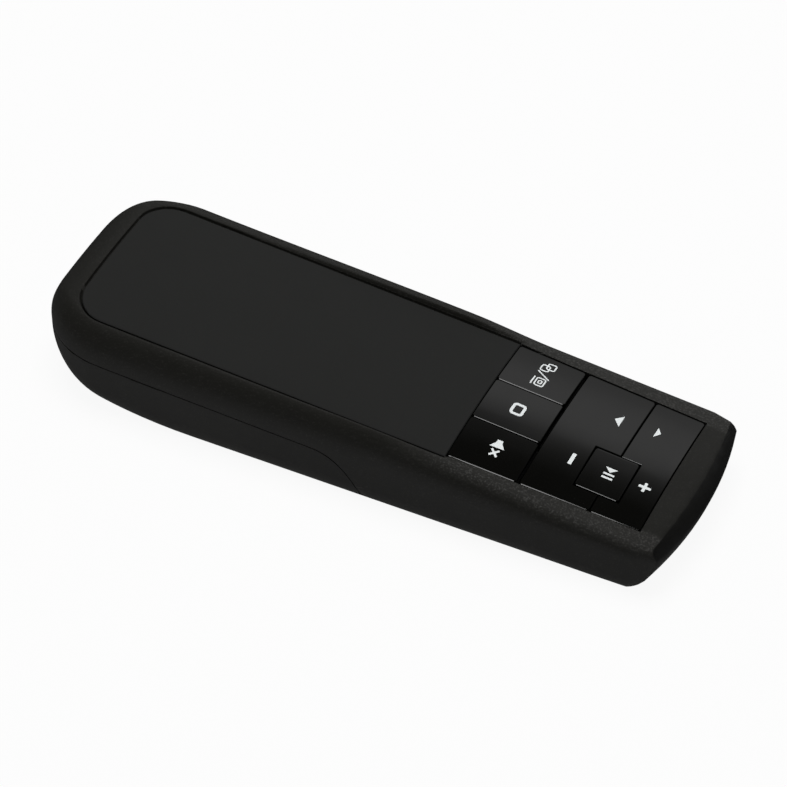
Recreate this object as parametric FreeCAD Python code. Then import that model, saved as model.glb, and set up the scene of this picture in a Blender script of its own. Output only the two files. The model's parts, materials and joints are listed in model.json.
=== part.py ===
"""Wireless presentation clicker: a hand-held wedge with a grip panel, four keys and two rockers.

Millimetres. +X points from the handle to the nose, +Y to the user's left, +Z up.
The origin is the centre of the bounding box in plan, on the surface that the clicker lies on.
"""
import FreeCAD
import Part

import math
import os

from FreeCAD import Vector

# Whole body
BODY_LENGTH = 130.5
HANDLE_HALF_WIDTH = 22.8
NOSE_HALF_WIDTH = 19.7
DECK_AT_KEYPAD = 15.0
HANDLE_DECK_RISE = 4.3
NOSE_DECK_DROP = 3.2
CROWN_RADIUS = 150.0
WALL = 1.6

# Rounding of the body: handle end, nose and long edges
HANDLE_CORNER_RADIUS = 16.2
HANDLE_TOP_RADIUS = 7.4
HANDLE_CORNER_REACH = 0.2
UNDERSIDE_RUN = 35.0
UNDERSIDE_RISE = 13.8
NOSE_CORNER_RADIUS = 8.7
NOSE_CORNER_REACH = 1.5
NOSE_BOW_RADIUS = 75.0
NOSE_LEAN = 1.85
NOSE_BROW = 3.2
CHIN_SETBACK = 8.6
CHIN_HEIGHT = 9.1
EDGE_AT_HANDLE = 6.0
EDGE_AT_KEYPAD = 4.13
EDGE_AT_NOSE = 1.8
EDGE_DROP_SHARE = 1.2
EDGE_WIDTH_SHARE = 0.45
EDGE_HEIGHT_SHARE = 0.48
FOOT_SHARE = 0.3
BOTTOM_EDGE = 1.85
BOTTOM_EDGE_HEIGHT = 3.9

# Rim that stands proud of the grip panel
RIM_FLUSH = 0.1
RIM_PEAK = 0.8
RIM_START_X = -50.0
RIM_PEAK_X = 8.5
RIM_END_X = 25.0

# Grip panel
PANEL_THICKNESS = 1.3
PANEL_START_X = -57.8
PANEL_HALF_WIDTH_START = 16.7
PANEL_HALF_WIDTH_END = 16.1
PANEL_CORNER_RADIUS = 6.4
PANEL_GAP = 0.2
PANEL_TOP_CHAMFER = 0.15
POCKET_FLOOR = 0.9
PEG_HALF = 1.1
PEG_CLEARANCE = 0.08

# Keypad: a field that narrows towards the nose
KEYPAD_START_X = 20.1
KEYPAD_END_X = 58.0
KEYPAD_HALF_WIDTH_START = 15.7
KEYPAD_HALF_WIDTH_END = 14.83
GROOVE_START_X = 33.7
GROOVE_END_X = 34.38
SPLIT_X = 48.08
FIRST_SPLIT_Y = 5.35
SECOND_SPLIT_Y = -5.37
PLAY_START_X = 43.12
PLAY_END_X = 52.0
PLAY_NEAR_Y = -10.98
PLAY_FAR_Y = -0.95
KEY_GAP = 0.26
KEY_CORNER_CHAMFER = 0.35
KEY_TOP_CHAMFER = 0.25
KEY_CAP = 1.6
KEY_HEIGHT = 2.7
KEY_WALL = 0.9
KEY_TRAVEL = 0.35
DECK_WALL = 2.6

# Rocker pivots
PIVOT_Y = 1.9
PIVOT_PIN_RADIUS = 0.6
PIVOT_DEPTH = 2.35
PIVOT_CLEARANCE = 0.05
SADDLE_LENGTH = 1.2
SADDLE_HALF_WIDTH = 1.15
SNAP_HALF_WIDTH = 0.48
SADDLE_INSET = 2.0
PIN_END_MARGIN = 1.3
ROCKER_SWING = 0.35

# Key frame under the keys
FRAME_DEPTH = 3.25
FRAME_THICKNESS = 0.9
COLLAR_CLEARANCE = 0.25
COLLAR_WALL = 0.9
RIB_DEPTH = 1.5
RIB_HALF_THICKNESS = 0.18
FRAME_LEG_HALF = 0.9
FRAME_LEG_INSET = 1.5

# Key posts and tact switches
POST_HALF = 1.4
POST_GUIDE_CLEARANCE = 0.3
TACT_SIDE = 4.5
TACT_HEIGHT = 2.0
PLUNGER_RADIUS = 1.15
PLUNGER_TOP = 2.8
PLUNGER_DEPTH = 0.7
PLUNGER_CLEARANCE = 0.08
FIRST_ROW_TACT_X = 27.0
SIDE_TACT_Y = 10.6
ROCKER_FAR_TACT_Y = 10.6
ROCKER_NEAR_TACT_Y = -7.0

# Circuit board
BOARD_BOTTOM = 4.2
BOARD_THICKNESS = 1.0
BOARD_START_X = 8.6
BOARD_END_X = 59.0
BOARD_HALF_WIDTH = 14.2
BOARD_NOSE_HALF_WIDTH = 12.4
BOARD_SCREW_X = 12.3
BOARD_REST_Y = 11.0
BOARD_SCREW_RADIUS = 0.8
BOARD_HEAD_RADIUS = 1.6
BOARD_HEAD_HEIGHT = 1.0
BOARD_POST_HALF = 1.9

# Chips
CONTROLLER_SIDE = 5.0
CONTROLLER_HEIGHT = 0.9
CONTROLLER_X = 16.6
CONTROLLER_Y = -3.2
CRYSTAL_LENGTH = 3.2
CRYSTAL_WIDTH = 2.5
CRYSTAL_HEIGHT = 0.8
CRYSTAL_Y = 3.6
ANTENNA_LENGTH = 5.0
ANTENNA_WIDTH = 1.5
ANTENNA_HEIGHT = 1.2
ANTENNA_Y = 6.7
CHIP_PART_LENGTH = 1.6
CHIP_PART_WIDTH = 0.8
CHIP_PART_HEIGHT = 0.5
CHIP_PART_PITCH = 2.2
CHIP_PART_X = 21.6

# Seam between the upper housing and the battery cover
SEAM_REAR_Z = 12.95
SEAM_FRONT_Z = 9.7
SEAM_BEND_X = -5.0
SEAM_FOOT_X = 6.0
SEAM_BEND_RUN = 5.0
SEAM_BEND_DROP = 5.2
SEAM_GAP = 0.2

# Lower housing: base plate
BASE_THICKNESS = 1.6
BASE_INSET = 3.4
BASE_GAP = 0.15
BASE_END_X = 54.5
BASE_CORNER_RADIUS = 4.0

# Lower housing: battery tray
CELL_LENGTH = 44.5
CELL_DIAMETER = 10.5
CELL_CENTRE_Z = 7.8
CELL_SPACING = 11.3
NUB_LENGTH = 1.0
NUB_RADIUS = 1.9
BAY_FRONT_X = 7.0
BAY_REAR_X = -42.6
BAY_WALL = 1.0
BAY_HALF_WIDTH = 11.4
TRAY_TOP_GAP = 0.1
TRAY_FLOOR_GAP = 0.5
RAIL_Z = 8.0
RAIL_THICKNESS = 0.9
RAIL_HALF_WIDTH = 19.2
RAIL_FRONT_X = 5.6
RAIL_REAR_X = -49.5
COVER_RIB_DEPTH = 2.1
COVER_RIB_GAP = 0.2
COVER_RIB_THICKNESS = 0.9
COVER_RIB_FRONT_X = -16.0
COVER_RIB_REAR_X = -42.0

# Housing screws, under the battery cover
SCREW_FRONT_X = -2.4
SCREW_REAR_X = -45.0
SCREW_Y = 15.3
SCREW_RADIUS = 1.0
SCREW_HEAD_RADIUS = 1.9
SCREW_HEAD_HEIGHT = 1.3
SCREW_LENGTH = 4.6
SCREW_CLEARANCE = 0.15
BOSS_HALF = 2.2

# Battery contacts
CONTACT_THICKNESS = 0.3
CONTACT_WIDTH = 7.0
CONTACT_TOP_Z = 11.8
CONTACT_BOTTOM_Z = 3.8
CONTACT_WALL_GAP = 0.1
NUB_GAP = 0.1
LEAF_TIP_GAP = 0.1
LEAF_TIP_Z = 7.8
LEAF_TIP_HALF = 0.9
LEAF_FOOT_REACH = 0.9
TAIL_WIDTH = 2.0
TAIL_SLOT_CLEARANCE = 0.15
TAIL_Z = 6.6
TAIL_END_X = 10.6

# Receiver, stowed across the handle's end
RECEIVER_GRIP_LENGTH = 6.7
RECEIVER_GRIP_WIDTH = 14.0
RECEIVER_GRIP_HEIGHT = 6.0
RECEIVER_PLUG_LENGTH = 12.0
RECEIVER_PLUG_WIDTH = 12.0
RECEIVER_PLUG_HEIGHT = 4.5
RECEIVER_PLUG_WALL = 0.35
RECEIVER_TONGUE_HEIGHT = 1.9
RECEIVER_CHAMFER = 0.8
RECEIVER_CENTRE_Z = 11.9
RECEIVER_GAP = 0.2
RECEIVER_BAY_WALL = 0.9
RECEIVER_BAY_GRIP = 3.6
INSIDE_CLEARANCE = 0.3

# Power slider in the underside
SLIDER_X = 31.0
SLIDER_TRAVEL = 3.0
SLIDER_LENGTH = 5.4
SLIDER_WIDTH = 4.0
SLIDER_DEPTH = 0.8
SLIDER_FACE_Z = 0.15
SLIDER_RIDGE = 0.3
SLIDER_RIDGE_COUNT = 4
SLIDER_STEM_LENGTH = 1.4
SLIDER_STEM_WIDTH = 1.2
SLIDER_STEM_TOP = 2.7
SLIDER_CLEARANCE = 0.15
SWITCH_LENGTH = 9.0
SWITCH_WIDTH = 3.6
SWITCH_BOTTOM = 1.75
SWITCH_SLOT_DEPTH = 1.3

# Shared
OVERRUN = 5.0
HANDLE_END_SHARES = (0.0, 0.006, 0.02, 0.045, 0.08, 0.13, 0.2, 0.29, 0.4, 0.53, 0.7, 1.0)
NOSE_END_SHARES = (1.0, 0.6, 0.36, 0.18, 0.0)
STATIONS = (4, 3, 1, 1)
INNER_HANDLE_END_SHARES = (0.0, 0.02, 0.08, 0.2, 0.4, 0.7, 1.0)
INNER_NOSE_END_SHARES = (1.0, 0.45, 0.0)
INNER_STATIONS = (1, 1, 1, 1)
OUTER_STEPS = (4, 6, 3)
INNER_STEPS = (2, 2, 1)
CHIN_STEPS = 8
QUARTER_TURN = 90
FULL_TURN = 360
SAME_PLACE = 1e-6
ON_SURFACE = 2e-3

HALF_LENGTH = BODY_LENGTH / 2
HANDLE_SLOPE = HANDLE_DECK_RISE / (KEYPAD_START_X + HALF_LENGTH)
NOSE_SLOPE = NOSE_DECK_DROP / (HALF_LENGTH - KEYPAD_START_X)
BOARD_TOP = BOARD_BOTTOM + BOARD_THICKNESS


def box(x0, x1, y0, y1, z0, z1):
    return Part.makeBox(x1 - x0, y1 - y0, z1 - z0, Vector(x0, y0, z0))


def square_post(x, y, half, z0, z1):
    return box(x - half, x + half, y - half, y + half, z0, z1)


def post(x, y, radius, z0, z1):
    return Part.makeCylinder(radius, z1 - z0, Vector(x, y, z0))


def rod_x(x0, x1, y, z, radius):
    return Part.makeCylinder(radius, x1 - x0, Vector(x0, y, z), Vector(1, 0, 0))


def rod_along_keys(x0, x1, y, radius):
    """Rod parallel to the keypad, at the depth of the pivots."""
    start = Vector(x0, y, pivot_height(x0))
    end = Vector(x1, y, pivot_height(x1))
    return Part.makeCylinder(radius, start.distanceToPoint(end), start, end - start)


def joined(shapes):
    whole = shapes[0]
    for shape in shapes[1:]:
        whole = whole.fuse(shape)
    return whole.removeSplitter()


def plan_prism(points, z0, z1, radius=0.0):
    """Upright prism on a plan outline, with its upright edges rounded."""
    corners = [Vector(x, y, z0) for x, y in points]
    prism = Part.Face(Part.makePolygon(corners + corners[:1])).extrude(Vector(0, 0, z1 - z0))
    if radius > 0:
        prism = prism.makeFillet(radius, upright_edges(prism))
    return prism


def side_prism(points, y0, y1):
    """Prism along Y on an outline given as X and Z."""
    corners = [Vector(x, y0, z) for x, z in points]
    return Part.Face(Part.makePolygon(corners + corners[:1])).extrude(Vector(0, y1 - y0, 0))


def upright_edges(shape):
    edges = []
    for edge in shape.Edges:
        start, end = edge.Vertexes[0].Point, edge.Vertexes[-1].Point
        if math.hypot(start.x - end.x, start.y - end.y) < SAME_PLACE < abs(start.z - end.z):
            edges.append(edge)
    return edges


def half_width(x):
    share = (x + HALF_LENGTH) / BODY_LENGTH
    return HANDLE_HALF_WIDTH + (NOSE_HALF_WIDTH - HANDLE_HALF_WIDTH) * share


def smooth(share):
    share = min(max(share, 0.0), 1.0)
    return share * share * (3 - 2 * share)


def between(x, x0, value0, x1, value1):
    share = min(max((x - x0) / (x1 - x0), 0.0), 1.0)
    return value0 + (value1 - value0) * share


def deck_height(x):
    """Height of the top's centre line: one slope along the handle, a steeper one along the keypad."""
    slope = HANDLE_SLOPE if x < KEYPAD_START_X else NOSE_SLOPE
    return DECK_AT_KEYPAD - slope * (x - KEYPAD_START_X)


def keypad_line(x):
    return DECK_AT_KEYPAD - NOSE_SLOPE * (x - KEYPAD_START_X)


def crest_height(x):
    """Height of the rim: almost flush at both ends, proud of the panel before the keypad."""
    if x < RIM_PEAK_X:
        rise = smooth((x - RIM_START_X) / (RIM_PEAK_X - RIM_START_X))
    else:
        rise = smooth((RIM_END_X - x) / (RIM_END_X - RIM_PEAK_X))
    return deck_height(x) + RIM_FLUSH + (RIM_PEAK - RIM_FLUSH) * rise


def round_loss(distance, run, rise):
    """How far a quarter ellipse has dropped at a distance from its end."""
    if distance >= run:
        return 0.0
    share = (run - max(distance, 0.0)) / run
    return rise * (1 - math.sqrt(1 - share * share))


def edge_inset(x):
    if x < KEYPAD_START_X:
        return between(x, -HALF_LENGTH, EDGE_AT_HANDLE, KEYPAD_START_X, EDGE_AT_KEYPAD)
    return between(x, KEYPAD_START_X, EDGE_AT_KEYPAD, HALF_LENGTH, EDGE_AT_NOSE)


def spaced(start, end, count):
    """Places that divide the way from start to end, with neither of them."""
    return [start + (end - start) * (index + 1) / (count + 1) for index in range(count)]


def corner_points(start, corner, end, steps):
    """Points of a quarter ellipse from start to end, towards the square corner between them."""
    centre = start + end - corner
    points = []
    for index in range(steps + 1):
        angle = math.radians(QUARTER_TURN) * index / steps
        points.append(centre + (start - centre) * math.cos(angle) + (end - centre) * math.sin(angle))
    return points


def closed_wire(points):
    return Part.makePolygon(points + points[:1])


def body_section(x, inset):
    """Closed outline of the body at x, with coarser corners where it is drawn in by inset."""
    from_handle = x + HALF_LENGTH + HANDLE_CORNER_REACH - inset
    from_nose = HALF_LENGTH + NOSE_CORNER_REACH - inset - x
    wide = half_width(x) - inset
    wide -= round_loss(from_handle, HANDLE_CORNER_RADIUS - inset, HANDLE_CORNER_RADIUS - inset)
    wide -= round_loss(from_nose, NOSE_CORNER_RADIUS - inset, NOSE_CORNER_RADIUS - inset)
    top = crest_height(x) - inset
    top -= round_loss(from_handle, HANDLE_TOP_RADIUS - inset, HANDLE_TOP_RADIUS - inset)
    bottom = inset + round_loss(from_handle, UNDERSIDE_RUN - inset, UNDERSIDE_RISE - inset)
    edge = min(edge_inset(x) - inset, wide * EDGE_WIDTH_SHARE)
    edge_top = top - (wide - edge) ** 2 / (2 * CROWN_RADIUS)
    tall = edge_top - bottom
    drop = min(edge * EDGE_DROP_SHARE, tall * EDGE_HEIGHT_SHARE)
    foot = min(BOTTOM_EDGE - inset, wide * FOOT_SHARE)
    foot_rise = min(BOTTOM_EDGE_HEIGHT - inset, tall * FOOT_SHARE)
    foot_steps, edge_steps, crown_steps = INNER_STEPS if inset > 0 else OUTER_STEPS
    half = corner_points(Vector(x, wide - foot, bottom), Vector(x, wide, bottom),
                         Vector(x, wide, bottom + foot_rise), foot_steps)
    half += corner_points(Vector(x, wide, edge_top - drop), Vector(x, wide, edge_top),
                          Vector(x, wide - edge, edge_top), edge_steps)
    for y in spaced(wide - edge, 0, crown_steps):
        half.append(Vector(x, y, top - y ** 2 / (2 * CROWN_RADIUS)))
    other_half = [Vector(point.x, -point.y, point.z) for point in reversed(half)]
    return closed_wire(half + [Vector(x, 0, top)] + other_half)


def body_stations(inset):
    """Places of the body's sections, fewer where it is drawn in by inset."""
    if inset > 0:
        handle_shares, nose_shares, counts = INNER_HANDLE_END_SHARES, INNER_NOSE_END_SHARES, INNER_STATIONS
    else:
        handle_shares, nose_shares, counts = HANDLE_END_SHARES, NOSE_END_SHARES, STATIONS
    start = inset - HALF_LENGTH
    end = HALF_LENGTH + NOSE_CORNER_REACH - inset
    handle_run = UNDERSIDE_RUN - inset
    nose_run = NOSE_CORNER_RADIUS - inset
    knots = [start + handle_run, RIM_PEAK_X, KEYPAD_START_X, RIM_END_X, end - nose_run]
    stations = [start + share * handle_run for share in handle_shares]
    for index, count in enumerate(counts):
        stations += spaced(knots[index], knots[index + 1], count)
        if knots[index + 1] < end - nose_run:
            stations.append(knots[index + 1])
    return stations + [end - share * nose_run for share in nose_shares]


def nose_profile(inset):
    """Outline of a disc whose rim is the bowed nose: leaning brow above, receding chin below."""
    axis_x = HALF_LENGTH - NOSE_BOW_RADIUS
    front = HALF_LENGTH - inset
    above = DECK_AT_KEYPAD + OVERRUN
    lean = NOSE_LEAN / NOSE_BROW * (above - CHIN_HEIGHT)
    brow = Vector(front, 0, CHIN_HEIGHT)
    chin = Vector(front - CHIN_SETBACK, 0, inset)
    chin_corner = Vector(front, 0, inset)
    axis_top = Vector(axis_x, 0, above)
    axis_low = Vector(axis_x, 0, -OVERRUN)
    chin_low = Vector(front - CHIN_SETBACK, 0, -OVERRUN)
    top = Vector(front - lean, 0, above)
    steps = CHIN_STEPS // 2 if inset > 0 else CHIN_STEPS
    points = [axis_low, chin_low] + corner_points(chin, chin_corner, brow, steps)
    return closed_wire(points + [top, axis_top])


def body_solid(inset):
    """The outside of the closed clicker, drawn in by inset."""
    sections = [body_section(x, inset) for x in body_stations(inset)]
    body = Part.makeLoft(sections, True, True)
    axis = Vector(HALF_LENGTH - NOSE_BOW_RADIUS, 0, 0)
    disc = Part.Face(nose_profile(inset)).revolve(axis, Vector(0, 0, 1), FULL_TURN)
    return body.common(disc)


def deck_tilt(slope):
    """Length along a slope for each millimetre of X."""
    return math.hypot(1, slope)


def under_deck(slope, x0, x1, depth):
    """Everything below the crowned deck, lowered by depth, from x0 to x1: part of a large cylinder."""
    tilt = math.degrees(math.atan(slope))
    crest = Vector(x0, 0, DECK_AT_KEYPAD - slope * (x0 - KEYPAD_START_X) - depth)
    body = Part.makeCylinder(CROWN_RADIUS, (x1 - x0) * deck_tilt(slope))
    body.translate(Vector(CROWN_RADIUS, 0, 0))
    body.rotate(Vector(0, 0, 0), Vector(0, 1, 0), QUARTER_TURN + tilt)
    body.translate(crest)
    return body


def under_panel(depth):
    return under_deck(HANDLE_SLOPE, -HALF_LENGTH - OVERRUN, KEYPAD_START_X, depth)


def under_keys(depth):
    return under_deck(NOSE_SLOPE, KEYPAD_START_X - OVERRUN, HALF_LENGTH + OVERRUN, depth)


def below_keys(depth):
    """Everything below a flat plane under the keypad: depth counts from the deck's centre line."""
    x0, x1 = KEYPAD_START_X - OVERRUN, HALF_LENGTH + OVERRUN
    wide = HANDLE_HALF_WIDTH + OVERRUN
    points = [(x0, keypad_line(x0) - depth), (x1, keypad_line(x1) - depth), (x1, -OVERRUN), (x0, -OVERRUN)]
    return side_prism(points, -wide, wide)


def key_slab(top_depth, bottom_depth):
    """Flat slab between two depths under the keypad."""
    return below_keys(top_depth).cut(below_keys(bottom_depth))


def panel_outline(grow):
    """Plan outline of the grip panel, grown on every side but the one at the keys."""
    front = KEYPAD_START_X - PANEL_GAP
    start_half = PANEL_HALF_WIDTH_START + grow
    front_half = PANEL_HALF_WIDTH_END + grow
    start = PANEL_START_X - grow
    points = [(start, -start_half), (front, -front_half), (front, front_half), (start, start_half)]
    prism = plan_prism(points, 0, DECK_AT_KEYPAD * 2)
    rear = [edge for edge in upright_edges(prism) if edge.CenterOfMass.x < 0]
    return prism.makeFillet(PANEL_CORNER_RADIUS + grow, rear)


def keypad_half(x):
    return between(x, KEYPAD_START_X, KEYPAD_HALF_WIDTH_START, KEYPAD_END_X, KEYPAD_HALF_WIDTH_END)


def keypad_prism(grow):
    """Upright prism of the keypad's field, from the board up."""
    start, end = KEYPAD_START_X - grow, KEYPAD_END_X + grow
    start_half = KEYPAD_HALF_WIDTH_START + grow
    end_half = KEYPAD_HALF_WIDTH_END + grow
    points = [(start, -start_half), (end, -end_half), (end, end_half), (start, start_half)]
    return plan_prism(points, BOARD_TOP, DECK_AT_KEYPAD * 2)


def seam_outline(gap):
    """Outline in X and Z of all that lies below and behind the seam, drawn back by gap."""
    rear = -HALF_LENGTH - OVERRUN
    bend = Vector(SEAM_BEND_X - gap, 0, SEAM_FRONT_Z - gap)
    middle = Vector(SEAM_BEND_X + SEAM_BEND_RUN - gap, 0, SEAM_FRONT_Z - gap)
    foot = Vector(SEAM_FOOT_X - gap, 0, 0)
    start = Vector(rear, 0, SEAM_REAR_Z - gap)
    low_front = Vector(SEAM_FOOT_X - gap, 0, -OVERRUN)
    low_rear = Vector(rear, 0, -OVERRUN)
    curve = Part.BezierCurve()
    curve.setPoles([bend, middle, foot + Vector(-SEAM_BEND_RUN / 2, 0, SEAM_BEND_DROP), foot])
    return Part.Wire([
        Part.makeLine(start, bend), curve.toShape(), Part.makeLine(foot, low_front),
        Part.makeLine(low_front, low_rear), Part.makeLine(low_rear, start)])


def cover_zone(gap):
    wide = HANDLE_HALF_WIDTH + OVERRUN
    face = Part.Face(seam_outline(gap))
    zone = face.extrude(Vector(0, wide * 2, 0))
    zone.translate(Vector(0, -wide, 0))
    return zone


def base_outline(gap):
    """Prism of the base plate's place in the underside, drawn in by gap."""
    start = SEAM_FOOT_X + gap
    end = BASE_END_X - gap
    start_half = half_width(start) - BASE_INSET - gap
    end_half = half_width(end) - BASE_INSET - gap
    points = [(start, -start_half), (end, -end_half), (end, end_half), (start, start_half)]
    prism = plan_prism(points, -OVERRUN, BASE_THICKNESS + OVERRUN)
    front = [edge for edge in upright_edges(prism) if edge.CenterOfMass.x > KEYPAD_START_X]
    return prism.makeFillet(BASE_CORNER_RADIUS, front)


def cavity(inner):
    """Hollow of the closed housing, lower under the panel's pocket and the deck."""
    wide = HANDLE_HALF_WIDTH + OVERRUN
    tall = DECK_AT_KEYPAD + HANDLE_DECK_RISE + OVERRUN
    rear = box(-HALF_LENGTH, KEYPAD_START_X - KEY_GAP, -wide, wide, 0, tall)
    front = box(KEYPAD_START_X - KEY_GAP, HALF_LENGTH, -wide, wide, 0, tall)
    below_pocket = inner.common(rear).common(under_panel(PANEL_THICKNESS + POCKET_FLOOR))
    below_deck = inner.common(front).common(below_keys(DECK_WALL))
    return below_pocket.fuse(below_deck)


def screw_places():
    return [(x, y) for x in (SCREW_REAR_X, SCREW_FRONT_X) for y in (-SCREW_Y, SCREW_Y)]


def peg_places():
    rear_x = PANEL_START_X + PANEL_CORNER_RADIUS
    front_x = KEYPAD_START_X - PANEL_CORNER_RADIUS
    reach = KEYPAD_HALF_WIDTH_START - PEG_HALF * 2
    return [(x, y) for x in (rear_x, front_x) for y in (-reach, reach)]


def upper_housing(outer, hollow):
    shell = outer.cut(hollow).cut(cover_zone(0))
    shell = shell.cut(base_outline(0))
    shell = shell.cut(panel_outline(PANEL_GAP).cut(under_panel(PANEL_THICKNESS)))
    shell = shell.cut(keypad_prism(KEY_GAP))
    under_floor = under_panel(PANEL_THICKNESS + POCKET_FLOOR / 2)
    bosses = []
    for x, y in screw_places():
        boss = square_post(x, y, BOSS_HALF, RAIL_Z + RAIL_THICKNESS, DECK_AT_KEYPAD * 2)
        core = post(x, y, SCREW_RADIUS, RAIL_Z, RAIL_Z + SCREW_LENGTH)
        bosses.append(boss.common(under_floor).cut(core))
    shell = joined([shell] + bosses)
    for x, y in peg_places():
        hole = square_post(x, y, PEG_HALF + PEG_CLEARANCE, DECK_AT_KEYPAD / 2, DECK_AT_KEYPAD * 2)
        shell = shell.cut(hole)
    return shell


def grip_panel():
    plate = panel_outline(0).common(under_panel(0)).cut(under_panel(PANEL_THICKNESS))
    plate = plate.makeChamfer(PANEL_TOP_CHAMFER, top_edges(plate, panel_top))
    pegs = [square_post(x, y, PEG_HALF, 0, DECK_AT_KEYPAD * 2) for x, y in peg_places()]
    depth = PANEL_THICKNESS + POCKET_FLOOR
    pegs = [peg.common(under_panel(PANEL_THICKNESS / 2)).cut(under_panel(depth)) for peg in pegs]
    return joined([plate] + pegs)


def crown_drop(slope, y):
    return (CROWN_RADIUS - math.sqrt(CROWN_RADIUS ** 2 - y ** 2)) * deck_tilt(slope)


def panel_top(x, y):
    return DECK_AT_KEYPAD - HANDLE_SLOPE * (x - KEYPAD_START_X) - crown_drop(HANDLE_SLOPE, y)


def key_top(x, y):
    return DECK_AT_KEYPAD - NOSE_SLOPE * (x - KEYPAD_START_X) - crown_drop(NOSE_SLOPE, y)


def top_edges(shape, height):
    """Edges that lie on the given top surface."""
    found = []
    for edge in shape.Edges:
        middle = edge.valueAt((edge.FirstParameter + edge.LastParameter) / 2)
        ends = [vertex.Point for vertex in edge.Vertexes]
        if all(abs(point.z - height(point.x, point.y)) < ON_SURFACE for point in ends + [middle]):
            found.append(edge)
    return found


def at_keypad_edge(edge):
    middle = edge.CenterOfMass
    return abs(middle.y) > keypad_half(middle.x) - KEY_GAP


def key_cap(points, hollow_points):
    """Key on a plan outline, with a crowned top and bevelled edges, hollow inside a second outline."""
    prism = plan_prism(points, 0, DECK_AT_KEYPAD * 2)
    outer_corners = [edge for edge in upright_edges(prism) if at_keypad_edge(edge) or len(points) == 4]
    prism = prism.makeChamfer(KEY_CORNER_CHAMFER, outer_corners)
    cap = prism.common(under_keys(0)).cut(below_keys(KEY_HEIGHT))
    cap = cap.makeChamfer(KEY_TOP_CHAMFER, top_edges(cap, key_top))
    face = Part.Face(closed_wire([Vector(x, y, 0) for x, y in hollow_points]))
    inner_wire = face.makeOffset2D(-KEY_WALL).Wires[0]
    inner = Part.Face(inner_wire).extrude(Vector(0, 0, DECK_AT_KEYPAD * 2))
    return cap.cut(inner.common(below_keys(KEY_CAP)))


def key_field(x0, x1, y0, y1):
    """Outline of a straight key: y0 and y1 are numbers, or None for the keypad's slanting edge."""
    half = KEY_GAP / 2
    left, right = x0 + half, x1 - half

    def side(x, y, sign):
        return sign * (keypad_half(x)) if y is None else y - sign * half
    return [(left, side(left, y0, -1)), (right, side(right, y0, -1)),
            (right, side(right, y1, 1)), (left, side(left, y1, 1))]


def first_row_fields():
    start = KEYPAD_START_X - KEY_GAP / 2
    end = GROOVE_START_X + KEY_GAP / 2
    return {
        "key_window": key_field(start, end, FIRST_SPLIT_Y, None),
        "key_stop": key_field(start, end, SECOND_SPLIT_Y, FIRST_SPLIT_Y),
        "key_mute": key_field(start, end, None, SECOND_SPLIT_Y)}


def first_row_places():
    return {
        "key_window": (FIRST_ROW_TACT_X, SIDE_TACT_Y),
        "key_stop": (FIRST_ROW_TACT_X, (FIRST_SPLIT_Y + SECOND_SPLIT_Y) / 2),
        "key_mute": (FIRST_ROW_TACT_X, -SIDE_TACT_Y)}


def play_place():
    return (PLAY_START_X + PLAY_END_X) / 2, (PLAY_NEAR_Y + PLAY_FAR_Y) / 2


def back_minus_places():
    arm_x = (GROOVE_END_X + PLAY_START_X) / 2
    return [((GROOVE_END_X + SPLIT_X) / 2, ROCKER_FAR_TACT_Y), (arm_x, ROCKER_NEAR_TACT_Y)]


def forward_plus_places():
    arm_x = (PLAY_END_X + KEYPAD_END_X) / 2
    return [((SPLIT_X + KEYPAD_END_X) / 2, ROCKER_FAR_TACT_Y), (arm_x, ROCKER_NEAR_TACT_Y)]


def key_post(x, y, low):
    """Post under a key, from inside its cap down to a level."""
    return square_post(x, y, POST_HALF, low, DECK_AT_KEYPAD * 2).common(below_keys(KEY_CAP - KEY_TOP_CHAMFER))


def pressed_key(points, place):
    x, y = place
    low = BOARD_TOP + PLUNGER_TOP
    return joined([key_cap(points, points), key_post(x, y, low)])


def rocker_outline(back):
    """Outline of a rocker, notched round the play key."""
    half = KEY_GAP / 2
    near_notch, far_notch = PLAY_NEAR_Y - half, PLAY_FAR_Y + half
    if back:
        outer_x, split, notch_x = GROOVE_END_X, SPLIT_X - half, PLAY_START_X - half
    else:
        outer_x, split, notch_x = KEYPAD_END_X, SPLIT_X + half, PLAY_END_X + half
    return [(outer_x, -keypad_half(outer_x)), (split, -keypad_half(split)), (split, near_notch),
            (notch_x, near_notch), (notch_x, far_notch), (split, far_notch),
            (split, keypad_half(split)), (outer_x, keypad_half(outer_x))]


def rocker_hollow(back):
    """Outline of the part of a rocker beyond the play key, which is hollow over the pivot."""
    outline = rocker_outline(back)
    outer_x = outline[0][0]
    split_corner, far_corners = outline[5], outline[6:]
    return [(outer_x, split_corner[1]), split_corner] + far_corners


def pivot_height(x):
    return keypad_line(x) - PIVOT_DEPTH


def rocker_span(back):
    if back:
        return GROOVE_END_X + PIN_END_MARGIN, SPLIT_X - PIN_END_MARGIN
    return SPLIT_X + PIN_END_MARGIN, KEYPAD_END_X - PIN_END_MARGIN


def rocker(back, places):
    """Rocker cap with its pivot pin, the web that carries the pin, and a post at each end."""
    x0, x1 = rocker_span(back)
    low = BOARD_TOP + PLUNGER_TOP + ROCKER_SWING
    web_inset = SADDLE_INSET + SADDLE_LENGTH / 2
    web = box(x0 + web_inset, x1 - web_inset, PIVOT_Y - PIVOT_PIN_RADIUS, PIVOT_Y + PIVOT_PIN_RADIUS,
              BOARD_TOP, DECK_AT_KEYPAD)
    web = web.common(key_slab(KEY_CAP - KEY_TOP_CHAMFER, PIVOT_DEPTH))
    cap = key_cap(rocker_outline(back), rocker_hollow(back))
    pin = rod_along_keys(x0, x1, PIVOT_Y, PIVOT_PIN_RADIUS)
    return joined([cap, pin, web] + [key_post(x, y, low) for x, y in places])


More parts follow.
